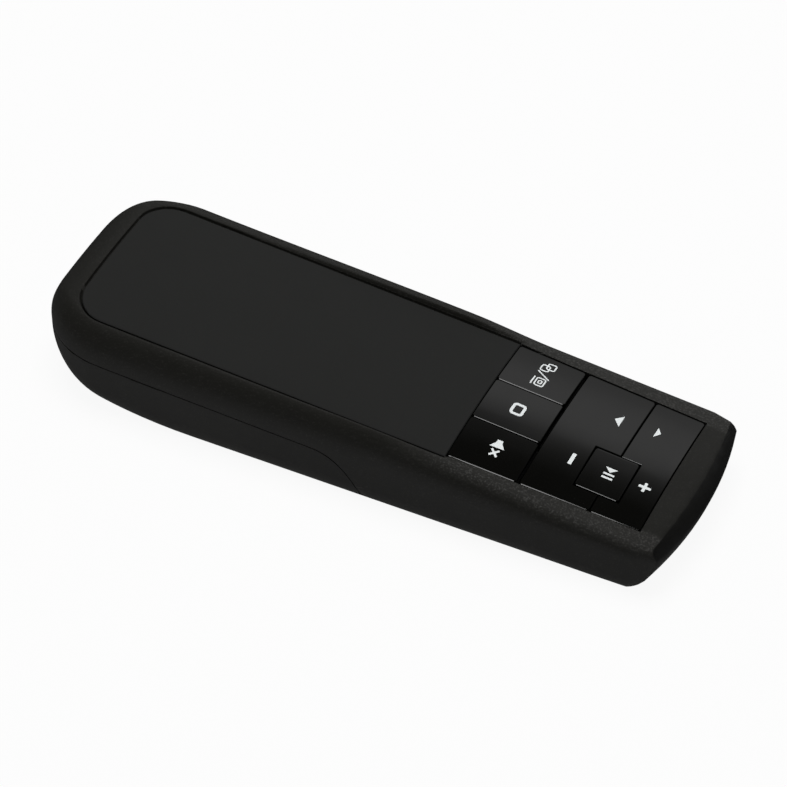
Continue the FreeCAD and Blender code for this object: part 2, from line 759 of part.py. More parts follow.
def key_frame(hollow_inner):
    """Plate with a collar round the key field, holes for the posts and saddles for the pivots."""
    inner = keypad_prism(KEY_GAP + COLLAR_CLEARANCE)
    outer = keypad_prism(KEY_GAP + COLLAR_CLEARANCE + COLLAR_WALL)
    plate = outer.common(key_slab(FRAME_DEPTH, FRAME_DEPTH + FRAME_THICKNESS))
    collar = outer.cut(inner).common(key_slab(DECK_WALL, FRAME_DEPTH + FRAME_THICKNESS))
    groove_x = (GROOVE_START_X + GROOVE_END_X) / 2
    reach = KEYPAD_HALF_WIDTH_START + COLLAR_CLEARANCE + COLLAR_WALL
    rib = box(groove_x - RIB_HALF_THICKNESS, groove_x + RIB_HALF_THICKNESS, -reach, reach, 0, DECK_AT_KEYPAD)
    rib = rib.common(key_slab(RIB_DEPTH, FRAME_DEPTH + FRAME_THICKNESS)).common(keypad_prism(KEY_GAP / 2))
    parts = [plate, collar, rib]
    saddle_cuts = []
    for back in (True, False):
        saddles, cut = pivot_saddles(back)
        parts += saddles
        saddle_cuts.append(cut)
    frame = joined(parts)
    for cut in saddle_cuts:
        frame = frame.cut(cut)
    for x, y in all_switch_places():
        frame = frame.cut(square_post(x, y, POST_HALF + POST_GUIDE_CLEARANCE, 0, DECK_AT_KEYPAD))
    frame = frame.common(hollow_inner)
    return joined([frame] + frame_legs())


def pivot_saddles(back):
    """Two saddles that snap round one rocker's pin, and the pin's running room."""
    x0, x1 = rocker_span(back)
    top = PIVOT_DEPTH - PIVOT_PIN_RADIUS / 2
    slab = key_slab(top, FRAME_DEPTH + FRAME_THICKNESS)
    saddles = []
    for start in (x0 + SADDLE_INSET / 2, x1 - SADDLE_INSET / 2 - SADDLE_LENGTH):
        block = box(start, start + SADDLE_LENGTH, PIVOT_Y - SADDLE_HALF_WIDTH, PIVOT_Y + SADDLE_HALF_WIDTH,
                    BOARD_TOP, DECK_AT_KEYPAD)
        saddles.append(block.common(slab))
    mouth = box(x0, x1, PIVOT_Y - SNAP_HALF_WIDTH, PIVOT_Y + SNAP_HALF_WIDTH, BOARD_TOP, DECK_AT_KEYPAD)
    cut = rod_along_keys(x0 - PIVOT_CLEARANCE, x1 + PIVOT_CLEARANCE, PIVOT_Y,
                         PIVOT_PIN_RADIUS + PIVOT_CLEARANCE)
    return saddles, cut.fuse(mouth.common(key_slab(0, PIVOT_DEPTH)))


def frame_legs():
    start = KEYPAD_START_X + FRAME_LEG_INSET
    end = KEYPAD_END_X - FRAME_LEG_INSET
    legs = []
    for x in (start, end):
        reach = min(keypad_half(x), board_half(x)) - FRAME_LEG_INSET
        for y in (-reach, reach):
            leg = square_post(x, y, FRAME_LEG_HALF, BOARD_TOP, DECK_AT_KEYPAD)
            legs.append(leg.common(below_keys(FRAME_DEPTH + FRAME_THICKNESS / 2)))
    return legs


def all_switch_places():
    places = list(first_row_places().values()) + [play_place()]
    return places + back_minus_places() + forward_plus_places()


def board_half(x):
    return between(x, GROOVE_START_X, BOARD_HALF_WIDTH, BOARD_END_X, BOARD_NOSE_HALF_WIDTH)


def circuit_board():
    points = [(BOARD_START_X, -BOARD_HALF_WIDTH), (GROOVE_START_X, -BOARD_HALF_WIDTH),
              (BOARD_END_X, -BOARD_NOSE_HALF_WIDTH), (BOARD_END_X, BOARD_NOSE_HALF_WIDTH),
              (GROOVE_START_X, BOARD_HALF_WIDTH), (BOARD_START_X, BOARD_HALF_WIDTH)]
    board = plan_prism(points, BOARD_BOTTOM, BOARD_TOP)
    return board.cut(post(BOARD_SCREW_X, 0, BOARD_SCREW_RADIUS, 0, DECK_AT_KEYPAD))


def board_rest_places():
    """Posts under the nose end of the board, which the key frame's legs press down."""
    x = BASE_END_X - BOARD_POST_HALF * 2
    return [(x, -BOARD_REST_Y), (x, BOARD_REST_Y)]


def board_screw():
    shank = post(BOARD_SCREW_X, 0, BOARD_SCREW_RADIUS, BASE_THICKNESS + BOARD_SCREW_RADIUS, BOARD_TOP)
    head = post(BOARD_SCREW_X, 0, BOARD_HEAD_RADIUS, BOARD_TOP, BOARD_TOP + BOARD_HEAD_HEIGHT)
    return joined([shank, head])


def tact_switch(x, y, fixed_plunger):
    """Square switch housing with a bore for its plunger, which stays in it under the rockers."""
    housing = square_post(x, y, TACT_SIDE / 2, BOARD_TOP, BOARD_TOP + TACT_HEIGHT)
    floor = BOARD_TOP + TACT_HEIGHT - PLUNGER_DEPTH - KEY_TRAVEL - PLUNGER_CLEARANCE
    if fixed_plunger:
        button = post(x, y, PLUNGER_RADIUS, BOARD_TOP + TACT_HEIGHT / 2, BOARD_TOP + PLUNGER_TOP)
        return joined([housing, button])
    return housing.cut(post(x, y, PLUNGER_RADIUS + PLUNGER_CLEARANCE, floor, BOARD_TOP + TACT_HEIGHT))


def tact_switches():
    sprung = list(first_row_places().values()) + [play_place()]
    fixed = back_minus_places() + forward_plus_places()
    switches = [tact_switch(x, y, False) for x, y in sprung]
    return Part.makeCompound(switches + [tact_switch(x, y, True) for x, y in fixed])


def plunger(place):
    x, y = place
    return post(x, y, PLUNGER_RADIUS, BOARD_TOP + TACT_HEIGHT - PLUNGER_DEPTH, BOARD_TOP + PLUNGER_TOP)


def on_board(x, y, length, width, height):
    return box(x - length / 2, x + length / 2, y - width / 2, y + width / 2, BOARD_TOP, BOARD_TOP + height)


def chip_parts():
    parts = []
    for row in (-1, 0, 1):
        for side in (-1, 1):
            y = row * CHIP_PART_PITCH + side * CONTROLLER_SIDE
            parts.append(on_board(CHIP_PART_X, y, CHIP_PART_WIDTH, CHIP_PART_LENGTH, CHIP_PART_HEIGHT))
    return Part.makeCompound(parts)


def battery_cover(outer, inner):
    shell = outer.cut(inner).common(cover_zone(SEAM_GAP))
    ribs = []
    low = RAIL_Z + RAIL_THICKNESS + COVER_RIB_GAP
    for side in (-1, 1):
        reach = HANDLE_HALF_WIDTH
        y0, y1 = sorted((side * (half_width(COVER_RIB_REAR_X) - WALL - COVER_RIB_DEPTH), side * reach))
        rib = box(COVER_RIB_REAR_X, COVER_RIB_FRONT_X, y0, y1, low, low + COVER_RIB_THICKNESS)
        ribs.append(rib.common(outer).common(cover_zone(SEAM_GAP)))
    return joined([shell] + ribs)


def battery_tray():
    """Bay for two cells under the pocket's floor, rails for the cover and a bay for the receiver."""
    top = DECK_AT_KEYPAD + HANDLE_DECK_RISE
    low = BASE_THICKNESS + TRAY_FLOOR_GAP
    outer_half = BAY_HALF_WIDTH + BAY_WALL
    rear, front = BAY_REAR_X - BAY_WALL, BAY_FRONT_X + BAY_WALL
    bay = box(rear, front, -outer_half, outer_half, low, top)
    bay = bay.fuse(box(BAY_FRONT_X, front, -outer_half, outer_half, BASE_THICKNESS / 2, top))
    bay = bay.cut(box(BAY_REAR_X, BAY_FRONT_X, -BAY_HALF_WIDTH, BAY_HALF_WIDTH, 0, top))
    rails = box(RAIL_REAR_X, RAIL_FRONT_X, -RAIL_HALF_WIDTH, RAIL_HALF_WIDTH, RAIL_Z, RAIL_Z + RAIL_THICKNESS)
    rails = rails.cut(box(RAIL_REAR_X, front, -BAY_HALF_WIDTH, BAY_HALF_WIDTH, 0, top))
    room = body_solid(WALL + INSIDE_CLEARANCE).common(
        under_panel(PANEL_THICKNESS + POCKET_FLOOR + TRAY_TOP_GAP))
    walls = joined([bay, rails, receiver_bay()]).common(room)
    foot = box(BAY_FRONT_X, front, -outer_half, outer_half, BASE_THICKNESS / 2, BASE_THICKNESS + OVERRUN)
    return joined([walls, foot])


def receiver_bay():
    """Open-bottomed box that grips the upper half of the stowed receiver."""
    x = receiver_centre_x()
    half_x = RECEIVER_GRIP_WIDTH / 2 + RECEIVER_GAP
    half_y = (RECEIVER_GRIP_LENGTH + RECEIVER_PLUG_LENGTH) / 2 + RECEIVER_GAP
    low = RECEIVER_CENTRE_Z + RECEIVER_GRIP_HEIGHT / 2 - RECEIVER_BAY_GRIP
    ceiling = RECEIVER_CENTRE_Z + RECEIVER_GRIP_HEIGHT / 2 + RECEIVER_GAP
    wall = RECEIVER_BAY_WALL
    bay = box(x - half_x - wall, BAY_REAR_X, -half_y - wall, half_y + wall, low, ceiling + wall)
    return bay.cut(box(x - half_x, x + half_x, -half_y, half_y, 0, ceiling))


def base_plate():
    """Underside of the front half, with the board's posts."""
    plate = base_outline(BASE_GAP).common(box(0, HALF_LENGTH, -HANDLE_HALF_WIDTH, HANDLE_HALF_WIDTH,
                                              0, BASE_THICKNESS))
    posts = [square_post(x, y, BOARD_POST_HALF, BASE_THICKNESS / 2, BOARD_BOTTOM)
             for x, y in [(BOARD_SCREW_X, 0)] + board_rest_places()]
    return joined([plate] + posts)


def slider_pocket():
    """Recess for the power slider and the slot for its stem."""
    half_run = SLIDER_LENGTH / 2 + SLIDER_TRAVEL + SLIDER_CLEARANCE
    half_wide = SLIDER_WIDTH / 2 + SLIDER_CLEARANCE
    depth = SLIDER_FACE_Z + SLIDER_DEPTH + SLIDER_CLEARANCE
    start = SLIDER_X - SLIDER_LENGTH / 2 - SLIDER_CLEARANCE
    pocket = box(start, SLIDER_X + half_run, -half_wide, half_wide, -OVERRUN, depth)
    stem_half = SLIDER_STEM_LENGTH / 2 + SLIDER_CLEARANCE
    wide = SLIDER_STEM_WIDTH / 2 + SLIDER_CLEARANCE
    slot = box(SLIDER_X - stem_half, SLIDER_X + stem_half + SLIDER_TRAVEL, -wide, wide,
               0, BASE_THICKNESS + OVERRUN)
    return pocket.fuse(slot)


def lower_housing():
    body = joined([battery_tray(), base_plate()]).cut(slider_pocket())
    for x, y in screw_places():
        body = body.cut(post(x, y, SCREW_RADIUS + SCREW_CLEARANCE, 0, DECK_AT_KEYPAD))
    body = body.cut(post(BOARD_SCREW_X, 0, BOARD_SCREW_RADIUS, BASE_THICKNESS + BOARD_SCREW_RADIUS,
                         DECK_AT_KEYPAD))
    for y in cell_rows():
        body = body.cut(tail_slot(y))
    return body


def housing_screws():
    screws = []
    for x, y in screw_places():
        head = post(x, y, SCREW_HEAD_RADIUS, RAIL_Z - SCREW_HEAD_HEIGHT, RAIL_Z)
        shank = post(x, y, SCREW_RADIUS, RAIL_Z, RAIL_Z + SCREW_LENGTH)
        screws.append(joined([head, shank]))
    return Part.makeCompound(screws)


def cell_rows():
    return -CELL_SPACING / 2, CELL_SPACING / 2


def nub_forward(y):
    return y > 0


def cell_ends(y):
    """Where a cell's can starts and ends in X."""
    can = CELL_LENGTH - NUB_LENGTH
    plate = CONTACT_WALL_GAP + CONTACT_THICKNESS + NUB_GAP
    if nub_forward(y):
        end = BAY_FRONT_X - plate - NUB_LENGTH
        return end - can, end
    start = BAY_REAR_X + plate + NUB_LENGTH
    return start, start + can


def battery_cell(y):
    start, end = cell_ends(y)
    can = rod_x(start, end, y, CELL_CENTRE_Z, CELL_DIAMETER / 2)
    if nub_forward(y):
        nub = rod_x(end, end + NUB_LENGTH, y, CELL_CENTRE_Z, NUB_RADIUS)
    else:
        nub = rod_x(start - NUB_LENGTH, start, y, CELL_CENTRE_Z, NUB_RADIUS)
    return joined([can, nub])


def contact_plate(y, wall_x, inward):
    near = wall_x + inward * CONTACT_WALL_GAP
    far = near + inward * CONTACT_THICKNESS
    half = CONTACT_WIDTH / 2
    return box(min(near, far), max(near, far), y - half, y + half, CONTACT_BOTTOM_Z, CONTACT_TOP_Z)


def contact_leaf(y, wall_x, inward, reach):
    """Strip folded down from the top of its plate, bowed out to press on a cell."""
    start = wall_x + inward * CONTACT_WALL_GAP
    thick = CONTACT_THICKNESS
    tip = start + inward * reach
    foot = start + inward * LEAF_FOOT_REACH
    points = [(start, CONTACT_TOP_Z), (start + inward * thick * 2, CONTACT_TOP_Z),
              (tip, LEAF_TIP_Z + LEAF_TIP_HALF), (tip, LEAF_TIP_Z - LEAF_TIP_HALF),
              (foot, CONTACT_BOTTOM_Z + thick), (foot, CONTACT_BOTTOM_Z + thick * 2),
              (tip - inward * thick, LEAF_TIP_Z - LEAF_TIP_HALF + thick),
              (tip - inward * thick, LEAF_TIP_Z + LEAF_TIP_HALF - thick),
              (start + inward * thick, CONTACT_TOP_Z - thick * 2), (start, CONTACT_TOP_Z - thick * 2)]
    half = CONTACT_WIDTH / 2
    leaf = side_prism(points, y - half, y + half)
    return joined([contact_plate(y, wall_x, inward), leaf])


def leaf_reach(y, wall_x):
    start, end = cell_ends(y)
    gap = min(abs(start - wall_x), abs(end - wall_x))
    return gap - CONTACT_WALL_GAP - LEAF_TIP_GAP


def contact_tail(y):
    """Strip from a front contact through the tray's wall to the board."""
    start = BAY_FRONT_X - CONTACT_WALL_GAP - CONTACT_THICKNESS
    half = TAIL_WIDTH / 2
    strip = box(start, TAIL_END_X, y - half, y + half, TAIL_Z, TAIL_Z + CONTACT_THICKNESS)
    foot = box(TAIL_END_X - CONTACT_THICKNESS, TAIL_END_X, y - half, y + half, BOARD_TOP, TAIL_Z)
    return joined([strip, foot])


def tail_slot(y):
    half = TAIL_WIDTH / 2 + TAIL_SLOT_CLEARANCE
    start, end = BAY_FRONT_X - TAIL_SLOT_CLEARANCE, BAY_FRONT_X + BAY_WALL + TAIL_SLOT_CLEARANCE
    return box(start, end, y - half, y + half,
               TAIL_Z - TAIL_SLOT_CLEARANCE, TAIL_Z + CONTACT_THICKNESS + TAIL_SLOT_CLEARANCE)


def rear_bridge():
    near, far = cell_rows()
    leaf = contact_leaf(far, BAY_REAR_X, 1, leaf_reach(far, BAY_REAR_X))
    plate = contact_plate(near, BAY_REAR_X, 1)
    start = BAY_REAR_X + CONTACT_WALL_GAP
    strip = box(start, start + CONTACT_THICKNESS, near, far, CONTACT_TOP_Z - TAIL_WIDTH, CONTACT_TOP_Z)
    return joined([leaf, plate, strip])


def front_positive():
    far = cell_rows()[1]
    return joined([contact_plate(far, BAY_FRONT_X, -1), contact_tail(far)])


def front_negative():
    near = cell_rows()[0]
    leaf = contact_leaf(near, BAY_FRONT_X, -1, leaf_reach(near, BAY_FRONT_X))
    return joined([leaf, contact_tail(near)])


def receiver_centre_x():
    return BAY_REAR_X - BAY_WALL - RECEIVER_GAP - RECEIVER_GRIP_WIDTH / 2


def receiver_body():
    """Grip of the receiver, lying across the handle."""
    x, z = receiver_centre_x(), RECEIVER_CENTRE_Z
    length = RECEIVER_GRIP_LENGTH + RECEIVER_PLUG_LENGTH
    y0 = -length / 2
    grip = box(x - RECEIVER_GRIP_WIDTH / 2, x + RECEIVER_GRIP_WIDTH / 2, y0, y0 + RECEIVER_GRIP_LENGTH,
               z - RECEIVER_GRIP_HEIGHT / 2, z + RECEIVER_GRIP_HEIGHT / 2)
    ends = [edge for edge in grip.Edges if edge.CenterOfMass.y < y0 + RECEIVER_GRIP_LENGTH / 4]
    grip = grip.makeChamfer(RECEIVER_CHAMFER, ends)
    inner_half = RECEIVER_PLUG_WIDTH / 2 - RECEIVER_PLUG_WALL
    low = z - RECEIVER_PLUG_HEIGHT / 2 + RECEIVER_PLUG_WALL
    start = y0 + RECEIVER_GRIP_LENGTH - RECEIVER_PLUG_WALL
    tongue = box(x - inner_half, x + inner_half, start, length / 2 - RECEIVER_PLUG_WALL,
                 low, low + RECEIVER_TONGUE_HEIGHT)
    return joined([grip, tongue])


def receiver_plug():
    """Metal sleeve of the plug, open at its end."""
    x, z = receiver_centre_x(), RECEIVER_CENTRE_Z
    length = RECEIVER_GRIP_LENGTH + RECEIVER_PLUG_LENGTH
    y0 = -length / 2 + RECEIVER_GRIP_LENGTH
    half_w, half_h = RECEIVER_PLUG_WIDTH / 2, RECEIVER_PLUG_HEIGHT / 2
    wall = RECEIVER_PLUG_WALL
    sleeve = box(x - half_w, x + half_w, y0, length / 2, z - half_h, z + half_h)
    return sleeve.cut(box(x - half_w + wall, x + half_w - wall, y0 - OVERRUN, length / 2 + OVERRUN,
                          z - half_h + wall, z + half_h - wall))


def power_slider():
    top = SLIDER_FACE_Z + SLIDER_DEPTH
    half_l, half_w = SLIDER_LENGTH / 2, SLIDER_WIDTH / 2
    knob = box(SLIDER_X - half_l, SLIDER_X + half_l, -half_w, half_w, SLIDER_FACE_Z, top)
    pitch = SLIDER_LENGTH / (SLIDER_RIDGE_COUNT + 1)
    for index in range(SLIDER_RIDGE_COUNT):
        x = SLIDER_X - half_l + pitch * (index + 1)
        knob = knob.cut(box(x - SLIDER_RIDGE / 2, x + SLIDER_RIDGE / 2, -half_w - OVERRUN, half_w + OVERRUN,
                            -OVERRUN, SLIDER_FACE_Z + SLIDER_RIDGE))
    stem = box(SLIDER_X - SLIDER_STEM_LENGTH / 2, SLIDER_X + SLIDER_STEM_LENGTH / 2,
               -SLIDER_STEM_WIDTH / 2, SLIDER_STEM_WIDTH / 2, top, SLIDER_STEM_TOP)
    return joined([knob, stem])


def power_switch():
    centre = SLIDER_X + SLIDER_TRAVEL / 2
    half = SWITCH_LENGTH / 2
    body = box(centre - half, centre + half, -SWITCH_WIDTH / 2, SWITCH_WIDTH / 2, SWITCH_BOTTOM, BOARD_BOTTOM)
    wide = SLIDER_STEM_WIDTH / 2 + SLIDER_CLEARANCE
    start = SLIDER_X - SLIDER_STEM_LENGTH / 2 - SLIDER_CLEARANCE
    end = SLIDER_X + SLIDER_STEM_LENGTH / 2 + SLIDER_CLEARANCE + SLIDER_TRAVEL
    return body.cut(box(start, end, -wide, wide, 0, SWITCH_BOTTOM + SWITCH_SLOT_DEPTH))


def build():
    outer = body_solid(0)
    inner = body_solid(WALL)
    hollow = cavity(inner)
    parts = {
        "upper_housing": upper_housing(outer, hollow),
        "grip_panel": grip_panel(),
        "battery_cover": battery_cover(outer, inner),
        "lower_housing": lower_housing(),
        "key_frame": key_frame(hollow),
        "circuit_board": circuit_board(),
        "board_screw": board_screw(),
        "tact_switches": tact_switches(),
        "controller_chip": on_board(CONTROLLER_X, CONTROLLER_Y, CONTROLLER_SIDE, CONTROLLER_SIDE,
                                    CONTROLLER_HEIGHT),
        "crystal": on_board(CONTROLLER_X, CRYSTAL_Y, CRYSTAL_LENGTH, CRYSTAL_WIDTH, CRYSTAL_HEIGHT),
        "chip_antenna": on_board(BOARD_END_X - ANTENNA_WIDTH, ANTENNA_Y, ANTENNA_WIDTH, ANTENNA_LENGTH,
                                 ANTENNA_HEIGHT),
        "chip_parts": chip_parts(),
        "battery_cell_near": battery_cell(cell_rows()[0]),
        "battery_cell_far": battery_cell(cell_rows()[1]),
        "contact_bridge": rear_bridge(),
        "contact_positive": front_positive(),
        "contact_negative": front_negative(),
        "receiver_body": receiver_body(),
        "receiver_plug": receiver_plug(),
        "housing_screws": housing_screws(),
        "power_slider": power_slider(),
        "power_switch": power_switch(),
        "rocker_back_minus": rocker(True, back_minus_places()),
        "rocker_forward_plus": rocker(False, forward_plus_places()),
    }
    places = first_row_places()
    for name, points in first_row_fields().items():
        parts[name] = pressed_key(points, places[name])
        parts[name.replace("key_", "plunger_")] = plunger(places[name])
    play = key_field(PLAY_START_X, PLAY_END_X, PLAY_NEAR_Y, PLAY_FAR_Y)
    parts["key_play_pause"] = pressed_key(play, play_place())
    parts["plunger_play_pause"] = plunger(play_place())
    return parts


def main():
    os.makedirs("parts", exist_ok=True)
    for name, shape in build().items():
        shape.exportStep(os.path.join("parts", name + ".step"))
        box_now = shape.BoundBox
        print(name, len(shape.Solids), shape.isValid(), round(shape.Volume, 1),
              [round(value, 2) for value in (box_now.XMin, box_now.XMax, box_now.YMin, box_now.YMax,
                                             box_now.ZMin, box_now.ZMax)])


if __name__ == "__main__":
    main()
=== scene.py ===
"""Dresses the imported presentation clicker: finishes, printed signs, light, floor and camera."""
import json
import logging
import math
from dataclasses import dataclass, field
from enum import Enum

import bmesh
import bpy
from mathutils import Matrix, Vector


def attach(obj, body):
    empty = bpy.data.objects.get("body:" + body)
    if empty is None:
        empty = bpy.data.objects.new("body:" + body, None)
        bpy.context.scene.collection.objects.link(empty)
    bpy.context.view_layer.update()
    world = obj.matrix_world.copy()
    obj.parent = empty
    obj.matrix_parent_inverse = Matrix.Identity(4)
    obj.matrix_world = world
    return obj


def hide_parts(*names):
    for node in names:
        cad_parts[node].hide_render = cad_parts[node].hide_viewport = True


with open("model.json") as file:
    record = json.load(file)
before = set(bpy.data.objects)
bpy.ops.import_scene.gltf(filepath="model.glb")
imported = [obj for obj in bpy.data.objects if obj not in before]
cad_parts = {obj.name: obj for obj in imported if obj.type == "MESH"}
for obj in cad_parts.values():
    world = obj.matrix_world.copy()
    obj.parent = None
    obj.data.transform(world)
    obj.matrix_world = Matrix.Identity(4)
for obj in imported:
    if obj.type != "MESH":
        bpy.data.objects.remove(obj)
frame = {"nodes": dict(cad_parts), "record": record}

MM = 0.001
WHITE = (1.0, 1.0, 1.0, 1.0)
LOG = logging.getLogger("clicker")
Point = tuple[float, float]
Triple = tuple[float, float, float]
Colour = Triple
Socket = bpy.types.NodeSocket
Signal = Socket | float


class Body(Enum):
    """Bodies of the clicker that pieces ride on."""

    HOUSING = "housing"
    WINDOW = "press_window"
    STOP = "press_stop"
    MUTE = "press_mute"
    PLAY = "press_play_pause"
    BACK = "tip_back_minus"
    FORWARD = "tip_forward_plus"
    COVER = "cover"


class Graph:
    """Node tree under construction, with the steps that its patterns share."""

    def __init__(self, tree: bpy.types.NodeTree) -> None:
        """Takes over a tree and empties it."""
        self.tree = tree
        self.tree.nodes.clear()

    def node(self, kind: str) -> bpy.types.Node:
        """Adds a shader node of a kind."""
        return self.tree.nodes.new("ShaderNode" + kind)

    def feed(self, target: Socket, value: Signal | tuple[float, ...]) -> None:
        """Links a socket to an input, or sets the input to a plain value."""
        if isinstance(value, Socket):
            self.tree.links.new(value, target)
        else:
            target.default_value = value

    def split(self, vector: Socket) -> tuple[Socket, ...]:
        """Returns the X, Y and Z of a vector."""
        node = self.node("SeparateXYZ")
        self.feed(node.inputs["Vector"], vector)
        return tuple(node.outputs)

    def ranged(self, value: Socket, source: Point, target: Point) -> Socket:
        """Maps a value from one range to another and clamps it.

        Args:
            value: Socket with the value.
            source: Ends of the range that is read.
            target: Values at those ends.

        Returns:
            The mapped value.
        """
        node = self.node("MapRange")
        node.inputs["From Min"].default_value, node.inputs["From Max"].default_value = source
        node.inputs["To Min"].default_value, node.inputs["To Max"].default_value = target
        self.feed(node.inputs["Value"], value)
        return node.outputs["Result"]

    def math(self, kind: str, first: Socket, second: Signal = 0.0) -> Socket:
        """Joins two values with a Math node and returns the result."""
        node = self.node("Math")
        node.operation = kind
        self.feed(node.inputs[0], first)
        self.feed(node.inputs[1], second)
        return node.outputs[0]

    def blend(self, share: Socket, first: Socket, second: Socket) -> Socket:
        """Mixes two shaders and returns the mix."""
        node = self.node("MixShader")
        for target, value in zip(node.inputs, (share, first, second)):
            self.feed(target, value)
        return node.outputs[0]

    def shine(self, kind: str, strength: Signal) -> Socket:
        """Returns a white Emission or Background of a strength."""
        node = self.node(kind)
        self.feed(node.inputs["Color"], WHITE)
        self.feed(node.inputs["Strength"], strength)
        return node.outputs[0]


class Recipe(Graph):
    """Node tree of one material, round a Principled shader and Object coordinates."""

    def __init__(self, name: str, colour: Colour, roughness: float, metallic: float = 0.0,
                 specular: float = 0.5) -> None:
        """Starts the material.

        Args:
            name: Name of the material.
            colour: Linear base colour.
            roughness: Base roughness.
            metallic: 1 for bare metal.
            specular: Specular level, 0.5 for a polished plastic.
        """
        self.material = bpy.data.materials.new(name)
        self.material.use_nodes = True
        self.material.diffuse_color = (*colour, 1.0)
        super().__init__(self.material.node_tree)
        self.shader = self.node("BsdfPrincipled")
        self.shader.inputs["Base Color"].default_value = (*colour, 1.0)
        self.shader.inputs["Roughness"].default_value = roughness
        self.shader.inputs["Metallic"].default_value = metallic
        self.shader.inputs["Specular IOR Level"].default_value = specular
        self.feed(self.node("OutputMaterial").inputs["Surface"], self.shader.outputs[0])
        self.coordinates = self.node("TexCoord").outputs["Object"]

    def noise(self, size_mm: float, detail: float = 2.0, stretch: Triple = (1.0, 1.0, 1.0)) -> Socket:
        """Adds a noise texture.

        Args:
            size_mm: Size of one grain in millimetres.
            detail: Octaves of the noise.
            stretch: How much longer the grains are along each axis.

        Returns:
            The noise's factor.
        """
        place = self.node("Mapping")
        place.inputs["Scale"].default_value = [1.0 / (size_mm * MM) / longer for longer in stretch]
        self.feed(place.inputs["Vector"], self.coordinates)
        grain = self.node("TexNoise")
        grain.inputs["Scale"].default_value = 1.0
        grain.inputs["Detail"].default_value = detail
        self.feed(grain.inputs["Vector"], place.outputs["Vector"])
        return grain.outputs["Fac"]

    def mixed(self, share: Socket, first: Colour | Socket, second: Colour | Socket) -> Socket:
        """Mixes two colours and returns the mix."""
        node = self.node("Mix")
        node.data_type = "RGBA"
        self.feed(node.inputs["Factor"], share)
        for name, colour in (("A", first), ("B", second)):
            target = next(item for item in node.inputs if item.name == name and item.type == "RGBA")
            self.feed(target, colour if isinstance(colour, Socket) else (*colour, 1.0))
        return next(item for item in node.outputs if item.type == "RGBA")

    def paint(self, colour: Socket) -> None:
        """Links a pattern to the base colour."""
        self.feed(self.shader.inputs["Base Color"], colour)

    def polish(self, roughness: Socket) -> None:
        """Links a pattern to the roughness."""
        self.feed(self.shader.inputs["Roughness"], roughness)

    def relief(self, height: Socket, depth_mm: float, strength: float) -> None:
        """Links a height pattern to the normal.

        Args:
            height: Pattern from 0 to 1.
            depth_mm: Height of the relief in millimetres.
            strength: Share of the bump that is used.
        """
        bump = self.node("Bump")
        bump.inputs["Strength"].default_value = strength
        bump.inputs["Distance"].default_value = depth_mm * MM
        self.feed(bump.inputs["Height"], height)
        self.feed(self.shader.inputs["Normal"], bump.outputs["Normal"])


@dataclass(frozen=True)
class ShoulderGrainAndHighlight:
    """Strips of coarser grain with a painted highlight: a lighter colour on the upper faces of the flat
    shoulders beside the keys, in millimetres.
    """

    colour: Colour
    fleck: Colour
    grain_mm: float = 0.34
    fleck_band: Point = (0.5, 0.72)
    start: Point = (8.0, 24.0)
    inner_half: Point = (14.2, 15.0)
    depth: Point = (2.0, 1.1)
    deck_height: float = 15.0
    deck_x: float = 20.1
    slope: float = 0.0709

    def mask(self, recipe: Recipe) -> Socket:
        """Returns 1 on the strips, where the coarser grain and the painted highlight go, and 0 elsewhere."""
        x, y, z = recipe.split(recipe.coordinates)
        level = recipe.math("ADD", z, recipe.math("MULTIPLY", x, self.slope))
        deck = self.deck_height + self.slope * self.deck_x
        on_top = recipe.ranged(level, tuple((deck - depth) * MM for depth in self.depth), (0.0, 1.0))
        side = recipe.math("ABSOLUTE", y)
        beside = recipe.ranged(side, tuple(half * MM for half in self.inner_half), (0.0, 1.0))
        here = recipe.ranged(x, tuple(place * MM for place in self.start), (0.0, 1.0))
        return recipe.math("MULTIPLY", recipe.math("MULTIPLY", on_top, beside), here)


@dataclass(frozen=True)
class BrowShade:
    """Painted shade: a smooth dark band painted on the leaning brow of the bowed nose, in millimetres."""

    colour: Colour
    axis_x: float = -9.75
    radius: float = 75.0
    chin_height: float = 9.1
    lean: float = 1.85 / 3.2
    border: Point = (0.16, 0.08)

    def mask(self, recipe: Recipe) -> Socket:
        """Returns 1 on the brow, where the shade is painted, and 0 elsewhere."""
        x, y, z = recipe.split(recipe.coordinates)
        ahead = recipe.math("SUBTRACT", x, self.axis_x * MM)
        squares = recipe.math("ADD", recipe.math("MULTIPLY", ahead, ahead), recipe.math("MULTIPLY", y, y))
        above = recipe.math("MAXIMUM", z, self.chin_height * MM)
        reach = recipe.math("ADD", recipe.math("SQRT", squares), recipe.math("MULTIPLY", above, self.lean))
        limit = self.radius + self.lean * self.chin_height
        return recipe.ranged(reach, tuple((limit - width) * MM for width in self.border), (0.0, 1.0))


